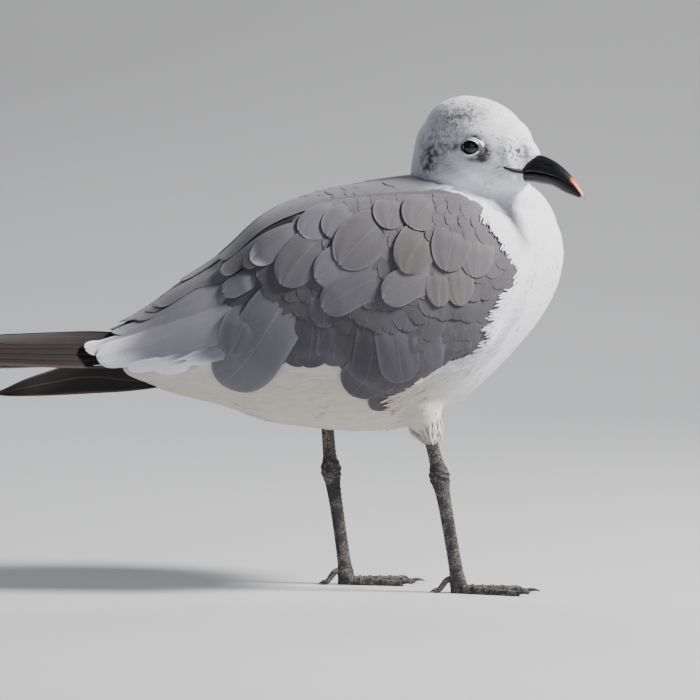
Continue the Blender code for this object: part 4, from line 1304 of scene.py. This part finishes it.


class GULL_OT_mantle(bpy.types.Operator):
    """Feathers over the back between the wings"""

    bl_idname = "gull.mantle"
    bl_label = "Mantle feathers"

    def execute(self, context):
        rng = np.random.default_rng(31)
        line = np.arange(-88, 50, 6.0)
        turn = np.radians(np.arange(-44, 45, 8.0))
        x, angle = (v.ravel() for v in np.meshgrid(line, turn, indexing="ij"))
        x = x + rng.uniform(-1.6, 1.6, x.size)
        keep = np.abs(angle) < np.radians(along(MANTLE_EDGE, x)) + 0.16
        x, angle = x[keep], angle[keep] + rng.uniform(-0.04, 0.04, keep.sum())
        half = rng.uniform(6.4, 8.0, x.size)
        lift = np.where(x > 38, -0.6, 0.5) + rng.uniform(-0.2, 0.2, x.size)
        vanes = back_vanes(x, angle, np.full(x.size, MANTLE_REACH), angle * 0.12, half, lift)
        # Tones above the wing's are painted light on the top of the back.
        floats = {
            "tone": rng.uniform(0.5, 1.2, x.size), "length": MANTLE_REACH, "width": half,
            "brown": rng.uniform(0, 0.3, x.size), "bold": 0.15, "frost": smoothstep(vanes[0][..., 0], 30, 43),
        }
        large_feathers("mantle_feathers", vanes, floats, "grey_feather")
        self.tertials()
        return {"FINISHED"}

    def tertials(self):
        """The innermost wing feathers, which meet over the back: on each side four long grey ones and a shorter brown
        one, and among them a dark vane painted as the shade in the gap between them."""
        rows = []
        for side in (-1, 1):
            rows += [
                (-12, 26 * side, 50, 5.6, 2.5, 0.1, 1.1, 0.02), (-16, 47 * side, 46, 5.2, 2.7, 0.3, 0.8, 0.03),
                (-14, 57 * side, 38, 4.6, 2.9, 0.9, 0.6, 0.0), (-26, 9 * side, 54, 6.4, 1.4, 0.1, 1.1, 0.03),
                (-38, 30 * side, 54, 6.6, 0.9, 0.0, 0.9, 0.03),
            ]
        x, degrees, reach, half, lift, brown, tone, white = np.array(rows).T
        angle = np.radians(degrees)
        vanes = back_vanes(x, angle, reach, -angle * 0.10, half, lift, 25, 9)
        floats = {"tone": tone, "length": reach, "width": half, "white": white, "brown": brown, "bold": 0.3}
        large_feathers("back_tertials", vanes, floats, "grey_feather")
        # Dark vanes painted as the shade in the gap between the tertials.
        angle = np.radians(np.array((-GAP_ANGLE, GAP_ANGLE)))
        x, reach, half, lift = (np.full(2, value) for value in (-16.0, GAP_REACH, 2.6, 1.7))
        vanes = back_vanes(x, angle, reach, -angle * 0.06, half, lift, 25, 7)
        floats = {"tone": -0.9, "length": GAP_REACH, "width": 3.4, "bold": 0.0}
        large_feathers("painted_gap_shade", vanes, floats, "dark_feather")


def primary_vanes(side, rng):
    """The folded primaries: five long vanes side by side across the plate that they form, each shorter than the one
    outside it, on the plate's curve between its low and high edges."""
    dense = smooth_rows(PRIMARIES, 12)
    run, across = vane_shape(41, 11)
    tips = np.array((-222.5, -214.0, -203.0, -190.0, -176.0))
    level = np.array((0.42, 0.54, 0.66, 0.78, 0.88))
    start = np.full(5, -92.0)
    x = start[:, None] + (tips - start)[:, None] * run
    low_y, low_z, high_y, high_z = (np.interp(-x, -dense[:, 0], dense[:, i]) for i in (1, 2, 3, 4))
    height = np.maximum(high_z - low_z, 3.0)
    half = vane_width(run[None], np.array((5.8, 5.6, 5.4, 5.2, 5.0))[:, None], (start - tips)[:, None], 0.7, 4.6)
    middle = level[:, None] + (0.5 - level[:, None]) * smoothstep(-x, 170, 222)
    share = np.clip(middle[..., None] + half[..., None] * across / height[..., None] / 1.25, -0.02, 1.02)
    y = low_y[..., None] + (high_y - low_y)[..., None] * share
    z = low_z[..., None] + height[..., None] * share + 2.0 * np.sin(math.pi * np.clip(share, 0, 1))
    layer = np.array((0.0, 0.40, 0.80, 1.20, 1.60))[:, None, None] - 1.1
    shift = layer + 0.12 * np.cos(across * 2) + 0.04 * np.sin(14 * run[None, :, None] + rng.uniform(0, 6, (5, 1, 1)))
    grids = stacked(x[..., None], side * (y + 0.75 * shift), z + 0.5 * shift)
    grids = grids[:, :, ::-side]
    floats = {
        "tone": rng.uniform(-0.6, 0.1, 5), "length": start - tips, "width": 5.4,
        "bold": np.array((1.0, 0.25, 0.2, 0.2, 0.3)), "brown": np.array((0.0, 0.0, 0.05, 0.08, 0.22)),
    }
    return (grids, grids[:, 0, 5], run, across), floats


class GULL_OT_flight(bpy.types.Operator):
    """Primaries, the drooping primary of the left wing, and the tail"""

    bl_idname = "gull.flight"
    bl_label = "Flight feathers"

    def execute(self, context):
        rng = np.random.default_rng(5)
        for name, side in SIDES:
            vanes, floats = primary_vanes(side, rng)
            large_feathers(f"primary_vanes_{name}", vanes, floats, "dark_feather", (f"primaries_{name}",), 0.3)
        self.loose_primary()
        self.tail(rng)
        return {"FINISHED"}

    def loose_primary(self):
        """One vane between the two edges of the drooping primary, bowed outwards across."""
        dense = smooth_rows(LOOSE_PRIMARY, 12)
        run, across = vane_shape(49, 13)
        x = -74 - 93 * run
        y, high, low = (np.interp(-x, -dense[:, 0], dense[:, i]) for i in (1, 2, 3))
        share = (across[None, :] + 1) / 2
        z = low[:, None] + (high - low)[:, None] * share
        bow = 1.0 * np.sin(math.pi * share) + 0.12 * np.sin(run[:, None] * 40 + share * 5)
        grid = stacked(x[:, None], y[:, None] + bow - 0.8, z)[None, :, ::-1]
        floats = {"tone": -0.3, "length": 79.0, "width": 6.0, "brown": 0.1, "bold": 1.0}
        vanes = grid, grid[:, 0, 6], run, across
        large_feathers("drooping_primary", vanes, floats, "dark_feather", ("loose_primary_left",), 0.35)

    def tail(self, rng):
        """Twelve tail feathers fanned from the tail's root, stacked inwards, on an arch that falls to the sides."""
        run, across = vane_shape(23, 9)
        place_across = np.linspace(-1, 1, 12)
        long, wide = 80.0, 6.4
        x = TAIL_ROOT + (TAIL_TIP + 2 * place_across**2 - TAIL_ROOT)[:, None] * run
        half = vane_width(run[None], np.full((12, 1), wide), long, 0.6, 0.7)
        fan = TAIL_HALF[0] * 0.8 + (TAIL_HALF[1] - 6 - TAIL_HALF[0] * 0.8) * run**0.7
        y = (fan[None] * place_across[:, None])[..., None] + half[..., None] * across
        drop = TAIL_DROP * (y / TAIL_HALF[1]) ** 2
        stack = 0.9 * (1 - np.abs(place_across))[:, None, None] - 1.6
        z = TAIL_HEIGHT - drop + stack - 0.15 * across**2
        grids = stacked(x[..., None], y, z)
        floats = {"tone": rng.uniform(-0.5, 0.5, 12), "length": long, "width": wide, "bold": 0.3}
        vanes = grids, grids[:, 0, 4], run, across
        large_feathers("tail_vanes", vanes, floats, "white_feather", ("tail",), 0.3)


# ---------------------------------------------------------------- bill, eyes, legs


def bill_rings(rows, lower):
    """A mandible: rings whose widest line is near the cutting edge. Away from it the section is half an ellipse, and
    towards the other mandible it closes within a sixth of its height. A keel runs along the outer line, and on the
    upper one a nostril slit is pressed into each side."""
    dense = smooth_rows(rows, 10)
    f, top, bottom, half = dense.T[:, :, None]
    angle = full_turn(56)
    side, up = superellipse(angle, 2.0)
    out = -up if lower else up
    inner = (top - bottom) * 0.16
    widest = top - inner if lower else bottom + inner
    outer = (widest - bottom) if lower else (top - widest)
    keel = np.clip(out, 0, 1) ** 8 * 0.3 * smoothstep(f, 20, 30)
    reach = np.where(out > 0, outer * out + keel, inner * out)
    z = widest - reach if lower else widest + reach
    narrow = 1 - 0.14 * np.clip(out, 0, 1) ** 2
    y = half * side * narrow
    if not lower:
        middle = 200.0 - 0.18 * (f - 31.5)
        slit = np.exp(-(((f - 31.8) / 2.5) ** 4) - ((z - middle) / 0.55) ** 2) * (np.abs(side) > 0.4)
        groove = np.exp(-(((f - 28) / 7) ** 4) - ((z - middle - 0.1) / 1.1) ** 2)
        y = y - np.sign(side) * (0.8 * slit + 0.22 * groove) * np.minimum(half / 4, 1)
    return capped(stacked(f, y, z)), dense


def bill_horn(name, colours_):
    """Dark horn with fine growth lines, a red mark on the ridge near the tip, a grey point, and a painted highlight
    along the cutting edges.
    """
    shader = Shader(name, Specular_IOR_Level=0.38)
    f, ridge = shader.attribute("along"), shader.attribute("ridge")
    where = shader.place()
    grain = shader.noise(where, 900, 4, 0.65)
    lines = shader.noise(shader.vector(f * 0.35, ridge * 9.0, 0.0), 1.0, 3, 0.6)
    colour = shader.blend(lines.step(0.45, 0.75) * 0.5, rgba(colours_.bill), (0.022, 0.020, 0.024, 1))
    mark = (f + 1.2 * (lines - 0.5)).step(42.8, 44.8) * (1.0 - f.step(49.0, 50.2))
    mark = mark * (ridge + 0.3 * (grain - 0.5)).step(0.55, 0.78)
    colour = shader.blend(mark, colour, rgba(colours_.bill_mark))
    colour = shader.blend(f.step(48.8, 50.2) * 0.8, colour, (0.16, 0.14, 0.13, 1))
    # Paler along the cutting edges: a painted highlight.
    edge = 1.0 - shader.attribute("cutting").step(0.0, 0.28)
    colour = shader.blend(edge * (0.25 + 0.5 * grain), colour, (0.035, 0.030, 0.034, 1))
    return shader.finish(colour, 0.26 + 0.22 * grain, grain * 0.4 + lines * 0.6, 0.00015)


class GULL_OT_bill(bpy.types.Operator):
    """Both halves of the bill and the corners of the mouth"""

    bl_idname = "gull.bill"
    bl_label = "Bill"

    def execute(self, context):
        horn = made("bill_horn_skin", bill_horn, colours())
        soft = made("gape_skin", grained, 0.3, 1500, (0.006, 0.006, 0.008), (0.018, 0.016, 0.018), 0.5, 0.2)
        for name, rows, lower in (("bill_upper", UPPER_BILL, False), ("bill_lower", LOWER_BILL, True)):
            rings, dense = bill_rings(rows, lower)
            mesh = loft(name + "_horn", turned(rings))
            position = np.concatenate((dense[:1], dense, dense[-1:]))
            height = rings[..., 2]
            share = (height - position[:, 2:3]) / np.maximum(position[:, 1:2] - position[:, 2:3], 0.1)
            add_floats(mesh, "along", np.broadcast_to(position[:, :1], height.shape))
            add_floats(mesh, "ridge", share * (not lower))
            add_floats(mesh, "cutting", 1 - share if lower else share)
            place(weld(mesh), name + "_horn", horn, (name,))
        for name, side in SIDES:
            f = np.linspace(21.5, 10.5, 30)
            rows = smooth_rows(FACE, 12)
            half = np.interp(f, rows[:, 0], rows[:, 3])
            height = 197.0 + 2.2 * smoothstep(-f, -20, -12)
            top, bottom = np.interp(f, rows[:, 0], rows[:, 1]), np.interp(f, rows[:, 0], rows[:, 2])
            up = np.abs((height - (top + bottom) / 2) / ((top - bottom) / 2))
            out = half * (1 - np.clip(up, 0, 0.98) ** HEAD_SQUARENESS) ** (1 / HEAD_SQUARENESS) - 0.5
            path, normal = MADE["skin"].beneath(turned(np.stack((f, side * out, height), -1)))
            path = smooth_rows(path[::3], 3) - 0.15 * normal.mean(0)
            radius = 0.95 * smoothstep(np.linspace(f[0], f[-1], len(path)), 10, 19) + 0.2
            place(weld(loft(f"gape_{name}", capped(tube_rings(path, radius, 12)))), f"gape_{name}", soft)
        return {"FINISHED"}


def grained(name, specular, scale, dark, light, roughness, spread):
    """Plain horn: fine grain between two colours, which also roughens it."""
    shader = Shader(name, Specular_IOR_Level=specular)
    grain = shader.noise(shader.place(), scale, 3, 0.6)
    return shader.finish(shader.blend(grain, rgba(dark), rgba(light)), roughness + spread * grain, grain, 0.0001)


def eye_surface(name):
    """A wet dark ball, a little paler where it meets the lids."""
    shader = Shader(name, Specular_IOR_Level=0.6, Coat_Weight=0.6, Coat_Roughness=0.02)
    glow = shader.attribute("rim")
    grain = shader.noise(shader.place(), 2500, 3, 0.6)
    colour = shader.blend(glow.step(0.45, 0.8), (0.002, 0.002, 0.003, 1), (0.012, 0.008, 0.006, 1))
    return shader.finish(shader.shaded(colour, 0.6 + 0.8 * grain), 0.04 + 0.05 * grain)


def lid_surface(name, colours_):
    """A bare dark rim, then feathers whose points carry how pale they are."""
    shader = Shader(name, Specular_IOR_Level=0.3)
    out, pale = shader.attribute("outward"), shader.attribute("pale")
    grain = shader.noise(shader.place(), 1800, 3, 0.6)
    edge = (out + 0.06 * (grain - 0.5)).step(0.10, 0.22)
    white = (pale + 0.25 * (grain - 0.5)).step(0.25, 0.6)
    feathers = shader.blend(white, rgba(colours_.dusk), rgba(colours_.white))
    colour = shader.blend(edge, (0.012, 0.010, 0.012, 1), feathers)
    return shader.finish(colour, 0.55 + 0.3 * grain, grain, 0.00012)


class GULL_OT_eyes(bpy.types.Operator):
    """Eyeballs and the feathered lids round them"""

    bl_idname = "gull.eyes"
    bl_label = "Eyes"

    def execute(self, context):
        skin = MADE["skin"]
        for name, side in SIDES:
            polar = np.linspace(0, math.pi, 33)[:, None]
            around = full_turn(48)
            out = side * np.cos(polar) + 0 * around
            ball = np.stack((np.sin(polar) * np.cos(around), out, np.sin(polar) * np.sin(around)), -1)
            mesh = loft("eyeball_" + name, turned(ball * EYE_RADIUS + np.array((0, side * EYE_SIDE, EYE_HEIGHT))))
            add_floats(mesh, "rim", np.broadcast_to(np.sin(polar), ball.shape[:2]))
            place(weld(mesh), "eyeball_" + name, made("eye_surface", eye_surface), ("eye_" + name,))
            self.lids(name, side, skin)
        return {"FINISHED"}

    def lids(self, name, side, skin):
        """The lids: from an almond rim that lies on the eyeball, over a rounded ridge, out to a ring under the
        coat. The rim is an ellipse whose ends are drawn to points by a power of the cosine."""
        share = np.linspace(0, 1, 12)[:, None]
        turn = full_turn(64)
        cosine, sine = np.cos(turn), np.sin(turn)
        narrow = 1 - 0.16 * np.abs(cosine) ** 3
        rim_f, rim_z = 4.2 * cosine, 2.95 * sine * narrow
        lift = EYE_RADIUS * 1.035
        rim_out = np.sqrt(lift**2 - rim_f**2 - rim_z**2) + EYE_SIDE
        far_f, far_z = 6.0 * cosine, 4.8 * sine
        far = stacked(far_f, side * 20.0 + 0 * turn, EYE_HEIGHT + far_z)[0]
        near = skin.nearest(turned(far))
        base = to_head(skin.points[near])
        far_out = np.abs(base[:, 1])[None, :]
        kernel = np.ones(9) / 9
        looped = np.concatenate((far_out[0, -4:], far_out[0], far_out[0, :4]))
        far_out = np.convolve(looped, kernel, "valid")[None, :] - 0.3
        f = rim_f + (far_f - rim_f) * share
        z = rim_z + (far_z - rim_z) * share
        bulge = 0.55 * np.sin(math.pi * share) * (0.65 + 0.5 * np.abs(sine))
        bulge = bulge + 0.35 * np.exp(-(((share - 0.10) / 0.10) ** 2))
        out = rim_out + (far_out - rim_out) * share**1.3 + bulge
        grid = stacked(f, side * out, EYE_HEIGHT + z)
        tucked = grid[:1].copy()
        tucked[..., 1] -= side * 1.2
        grid = turned(np.concatenate((tucked, grid)))
        mesh = loft("eyelids_" + name, grid)
        add_floats(mesh, "outward", np.broadcast_to(np.concatenate((share[:1] * 0, share)), grid.shape[:2]))
        middle = 0.36 + 0.06 * (sine < 0)
        pale = np.clip(np.abs(sine) * 1.8 - 0.45, 0, 1) * smoothstep(-np.abs(share - middle), -0.22, -0.10)
        dusky = markings(grid)["dusk"][1:]
        pale = np.maximum(pale, (1 - dusky) * smoothstep(share, 0.55, 0.8))
        add_floats(mesh, "pale", np.concatenate((pale[:1] * 0, pale)))
        place(weld(mesh), "eyelids_" + name, made("lid_surface", lid_surface, colours()))


def leg_scales(name, colours_):
    """Dark skin with a network of small scales, and pale painted highlights on the edges of the plates in front and on
    the middles of some small scales.
    """
    shader = Shader(name, Specular_IOR_Level=0.4)
    where = shader.place()
    cell = shader.node("ShaderNodeTexVoronoi", {"feature": "DISTANCE_TO_EDGE"}, {"Vector": where, "Scale": 750.0})
    scale = Number(shader, cell.outputs["Distance"]).step(0.02, 0.16)
    plate = shader.attribute("plate")
    grain = shader.noise(where, 1200, 3, 0.6)
    bold = shader.noise(where, 220, 2, 0.5)
    network = 1.0 - scale * shader.attribute("network")
    # Painted highlights: pale on the edges of the front plates, and below on the middles of some small scales.
    pale = plate.step(0.55, 1.0) * (0.25 + 0.9 * bold)
    colour = shader.blend(pale * 0.95, rgba(colours_.leg), rgba(colours_.leg_highlight))
    colour = shader.blend((1.0 - plate.step(0.0, 0.22)) * 0.6, colour, (0.014, 0.012, 0.013, 1))
    colour = shader.blend(scale * bold.step(0.40, 0.62) * 0.30, colour, rgba(colours_.leg_highlight))
    colour = shader.shaded(colour, (0.75 + 0.5 * grain) * (1.25 - 0.65 * network))
    return shader.finish(colour, 0.5 + 0.25 * grain, scale * 0.5 + plate * 0.5 + grain * 0.3, 0.00025)


def level_way(bearing):
    """The level direction that turns by an angle from straight ahead."""
    return np.array((math.cos(bearing), math.sin(bearing), 0.0))


def toe_bearing(leg, degrees):
    """The angle of a toe from straight ahead: the foot's, and the toe's own outwards."""
    return leg["heading"] + leg["side"] * math.radians(degrees)


def heel(leg):
    """Where a foot's toes meet on the ground."""
    return np.array((leg["foot"][0], leg["foot"][1], 0.0)) - level_way(leg["heading"]) * FOOT_BACK


def shank_grid(leg):
    """The shank: rings along a path from the thigh's tuft over the ankle to the foot, narrow from side to side, with
    a knob at the ankle, and overlapping plates down the front: a saw wave along it, strongest in front."""
    tuft, ankle, foot = leg_points(leg, "tuft", "ankle", "foot")
    start = tuft + (tuft - ankle) * 0.35
    path = smooth_rows((start, tuft, ankle, ankle + 0.5 * (foot - ankle), foot - np.array((0, 0, 1.8))), 40)
    run = np.concatenate(([0], np.cumsum(np.linalg.norm(np.diff(path, axis=0), axis=1))))
    at_ankle = run[80]
    knob = ((-8, 2.6), (-3, 3.5), (0, 4.0), (3, 3.7), (8, 2.9), (20, 2.55))
    table = ((0, 2.4), *((at_ankle + step, r) for step, r in knob),
             (run[-1] - 10, 2.6), (run[-1] - 4, 3.1), (run[-1], 3.4))
    radius = along(table, run)
    angle = full_turn(40)
    front = (np.clip(np.cos(angle) + 0.3, 0, 1.3) / 1.3) ** 0.6
    saw = (run[:, None] / 2.3) % 1.0
    plate = np.where(saw < 0.85, saw / 0.85, (1 - saw) / 0.15)
    swell = radius[:, None] * (1 - 0.10 * np.sin(angle) ** 2) + 0.32 * plate * front - 0.05
    knob = np.exp(-(((run[:, None] - at_ankle) / 4.0) ** 2)) * 0.25 * np.sin(angle * 5 + run[:, None] * 1.9)
    forward = level_way(leg["heading"])
    way = unit(np.gradient(path, axis=0))
    ahead = unit(forward - (way @ forward)[:, None] * way)
    across = np.cross(way, ahead)
    radial = 1.2 * np.cos(angle)[..., None] * ahead[:, None] + 0.96 * np.sin(angle)[..., None] * across[:, None]
    grid = path[:, None] + (swell + knob)[..., None] * radial
    return grid, np.maximum(plate * front, 0.35 * (1 - front)), 1 - front + 0 * plate


def toe_grid(leg, degrees, length):
    """A toe: half-round rings with a flat sole along its line, swollen at its joints, with ridges across its top."""
    way = level_way(toe_bearing(leg, degrees))
    across = np.array((-way[1], way[0], 0.0))
    run = np.linspace(0.0, 1.0, 90)[:, None]
    angle = full_turn(24)
    joints = 0.12 * np.cos(run * 2 * math.pi * 3.0) ** 8
    tall, wide = ((back + (tip - back) * run) * (1 + joints) for back, tip in (TOE_HEIGHT, TOE_WIDTH))
    end = np.sqrt(np.clip(1 - ((run - 0.94) / 0.062).clip(0, 1) ** 2, 0.02, 1))
    saw = (run * (length + FOOT_BACK) / 1.35) % 1.0
    ridge = np.where(saw < 0.8, saw / 0.8, (1 - saw) / 0.2)
    top = np.clip(np.sin(angle), 0, 1)
    z = np.where(np.sin(angle) > 0, tall * end * top**0.8 + 0.14 * ridge * top, 0.12 * (np.sin(angle) + 1))
    side = wide / 2 * end * np.sign(np.cos(angle)) * np.abs(np.cos(angle)) ** 0.8
    grid = heel(leg) + way * (run * (length + FOOT_BACK + 0.4))[..., None] + across * side[..., None]
    grid[..., 2] = z + 0.02
    return grid, ridge * top**0.5 + 0 * side, 1 - top + 0 * ridge


def web_grid(leg, first, second):
    """The web between two toes: a thin closed sheet whose front edge is drawn back between the toes by a sine,
    with soft folds that run from the heel."""
    start = heel(leg)
    share = np.linspace(0, 1, 25)[None, :]
    run = np.linspace(0.10, 1, 50)[:, None]
    degrees = first[1] + (second[1] - first[1]) * share
    reach = (first[2] + (second[2] - first[2]) * share + FOOT_BACK) * (1 - 0.20 * np.sin(math.pi * share)) * 0.97
    bearing = leg["heading"] + leg["side"] * np.radians(degrees)  # an array, one for each share
    level = 0.75 + 0.5 * np.abs(share - 0.5) + 0.13 * np.sin(share * 22 + 1.5 * run) * run + 0 * run
    x, y = start[0] + reach * run * np.cos(bearing), start[1] + reach * run * np.sin(bearing)
    upper = stacked(x, y, level)
    under = upper.copy()
    under[..., 2] -= 0.6
    web = np.concatenate((upper, under[:, ::-1]), axis=1)
    return web, np.full(web.shape[:2], 0.45), np.full(web.shape[:2], 0.8)


class GULL_OT_legs(bpy.types.Operator):
    """Scaled shanks, webbed feet, hind toes and claws"""

    bl_idname = "gull.legs"
    bl_label = "Legs"

    def execute(self, context):
        for name, leg in LEGS.items():
            parts = [shank_grid(leg), *(toe_grid(leg, degrees, length) for _, degrees, length in TOES)]
            parts += [web_grid(leg, first, second) for first, second in zip(TOES, TOES[1:])]
            grids, plates, networks = zip(*parts, self.hind_toe(leg))
            mesh = loft("leg_" + name, *(capped(grid) for grid in grids))
            for key, values in (("plate", plates), ("network", networks)):
                rings = [np.concatenate((part[:1], part, part[-1:])).ravel() for part in values]
                add_floats(mesh, key, np.concatenate(rings))
            nodes = (f"shank_{name}", f"foot_{name}", f"hind_toe_{name}")
            place(weld(mesh), "leg_" + name, made("leg_scales", leg_scales, colours()), nodes)
            self.claws(name, leg)
        return {"FINISHED"}

    def hind_toe(self, leg):
        """The small hind toe, a tapered tube from the back of the shank down to the ground."""
        heading, foot = level_way(leg["heading"]), np.array(leg["foot"])
        ground = foot * (1, 1, 0)
        path = smooth_rows((
            foot + (0, 0, 2.0) - heading * 1.5, foot + (0, 0, 1.2) - heading * 5.5,
            ground + (0, 0, 1.7) - heading * 9.0, ground + (0, 0, 1.25) - heading * 11.6,
        ), 12)
        ring = tube_rings(path, np.linspace(1.7, 1.05, len(path)), 20)
        ring[..., 2] = np.maximum(ring[..., 2], 0.03)
        plate = np.broadcast_to(0.3 + 0.2 * np.sin(np.arange(len(path)) * 1.6)[:, None], ring.shape[:2])
        return ring, plate, 1 - plate

    def claws(self, name, leg):
        """Curved cones: a path that arches over from the toe's end towards the ground, half a sine wave on a slope,
        with a radius that falls as a root of the share along it."""
        share = np.linspace(0, 1, 24)
        grids = []
        for _, degrees, length in TOES:
            way = level_way(toe_bearing(leg, degrees))
            path = heel(leg) + way * (length + FOOT_BACK - 0.7 + (CLAW + 0.9) * share)[:, None]
            path[:, 2] = 1.45 + 0.75 * np.sin(math.pi * share * 0.85) - 0.75 * share
            grids.append(capped(tube_rings(path, 0.95 * (1 - share) ** 0.55 + 0.06, 14)))
        path = np.array(leg["foot"]) * (1, 1, 0) - level_way(leg["heading"]) * (11.2 + 2.2 * share)[:, None]
        path[:, 2] = 1.1 + 0.3 * np.sin(math.pi * share) - 0.7 * share
        grids.append(capped(tube_rings(path, 0.6 * (1 - share) ** 0.55 + 0.06, 12)))
        nodes = [f"claw_{toe}_{name}" for toe, _, _ in TOES]
        horn = made("claw_surface", grained, 0.5, 1300, (0.012, 0.011, 0.012), (0.055, 0.048, 0.046), 0.3, 0.25)
        place(weld(loft("claws_" + name, *grids)), "claws_" + name, horn, nodes)


# ---------------------------------------------------------------- stage


class GULL_OT_stage(bpy.types.Operator):
    """Floor, lights and camera"""

    bl_idname = "gull.stage"
    bl_label = "Stage"

    def execute(self, context):
        x, run = np.meshgrid(np.linspace(-3, 3, 7), np.linspace(-3, 3.6, 60), indexing="ij")
        flat, bend = 1.1, 1.2  # metres of level floor behind the bird, and the radius of its sweep up to the wall
        turn = np.clip((run - flat) / bend, 0, math.pi / 2)
        y = np.minimum(run, flat) + bend * np.sin(turn)
        z = bend * (1 - np.cos(turn)) + np.clip(run - flat - bend * math.pi / 2, 0, None)
        floor_mesh = new_mesh("floor", np.stack((x, y, z), -1) / MM, grid_quads(7, 60))
        shader = Shader("floor_paint", Specular_IOR_Level=0.2)
        cloud = shader.noise(shader.place(), 1.5, 2, 0.5)
        paint = shader.blend(cloud, (0.52, 0.53, 0.55, 1), (0.57, 0.58, 0.60, 1))
        floor_mesh.materials.append(shader.finish(paint, 0.7 + 0.1 * cloud))
        floor = bpy.data.objects.new("floor", floor_mesh)
        context.scene.collection.objects.link(floor)

        world = bpy.data.worlds.new("studio")
        context.scene.world = world
        world.use_nodes = True
        sky = world.node_tree.nodes["Background"].inputs
        sky[0].default_value, sky[1].default_value = (0.55, 0.62, 0.74, 1), 0.13

        middle = Vector((SHIFT, 0.0, 0.1128))
        self.lamp("key", middle + Vector((1.25, -0.50, 1.15)), middle, 90.0, 0.36, (1.0, 0.97, 0.93))
        self.lamp("fill", middle + Vector((-1.1, -1.3, 0.5)), middle, 1.5, 1.1, (0.86, 0.92, 1.0))
        self.lamp("back", middle + Vector((-0.4, 1.2, 0.9)), middle, 9.0, 0.7, (0.95, 0.97, 1.0))
        self.camera(context, middle)
        return {"FINISHED"}

    def lamp(self, name, place_, target, power, size, colour):
        light = bpy.data.lights.new(name, "AREA")
        light.energy, light.size, light.color = power, size, colour
        lamp = bpy.data.objects.new(name, light)
        lamp.location = place_
        lamp.rotation_euler = (target - place_).to_track_quat("-Z", "Y").to_euler()
        bpy.context.scene.collection.objects.link(lamp)

    def camera(self, context, target):
        azimuth, elevation, distance = math.radians(-4.0), math.radians(3.0), 2.2
        lens = bpy.data.cameras.new("camera")
        lens.lens, lens.sensor_width = 240.7, 36.0
        camera = bpy.data.objects.new("camera", lens)
        level = math.cos(elevation)
        away = Vector((math.sin(azimuth) * level, -math.cos(azimuth) * level, math.sin(elevation)))
        camera.location = target + away * distance
        camera.rotation_euler = (-away).to_track_quat("-Z", "Y").to_euler()
        context.scene.collection.objects.link(camera)
        context.scene.camera = camera


OPERATORS = (
    GULL_OT_skin, GULL_OT_coat, GULL_OT_wings, GULL_OT_mantle, GULL_OT_flight, GULL_OT_bill, GULL_OT_eyes,
    GULL_OT_legs, GULL_OT_stage,
)


class GULL_PT_panel(bpy.types.Panel):
    """The gull's sizes, colours and steps"""

    bl_idname = "GULL_PT_panel"
    bl_label = "Laughing gull"
    bl_space_type = "VIEW_3D"
    bl_region_type = "UI"
    bl_category = "Gull"

    def draw(self, context):
        for group in (context.scene.gull_sizes, context.scene.gull_colours):
            for key in group.bl_rna.properties.keys():
                if key not in ("rna_type", "name"):
                    self.layout.prop(group, key)
        for operator in OPERATORS:
            self.layout.operator(operator.bl_idname)


CLASSES = (GullSizes, GullColours, *OPERATORS, GULL_PT_panel)


def register():
    for cls in CLASSES:
        bpy.utils.register_class(cls)
    bpy.types.Scene.gull_sizes = bpy.props.PointerProperty(type=GullSizes)
    bpy.types.Scene.gull_colours = bpy.props.PointerProperty(type=GullColours)


def unregister():
    del bpy.types.Scene.gull_sizes
    del bpy.types.Scene.gull_colours
    for cls in reversed(CLASSES):
        bpy.utils.unregister_class(cls)


def main():
    register()
    for step in ("skin", "coat", "wings", "mantle", "flight", "bill", "eyes", "legs", "stage"):
        getattr(bpy.ops.gull, step)()


if __name__ == "__main__":
    main()
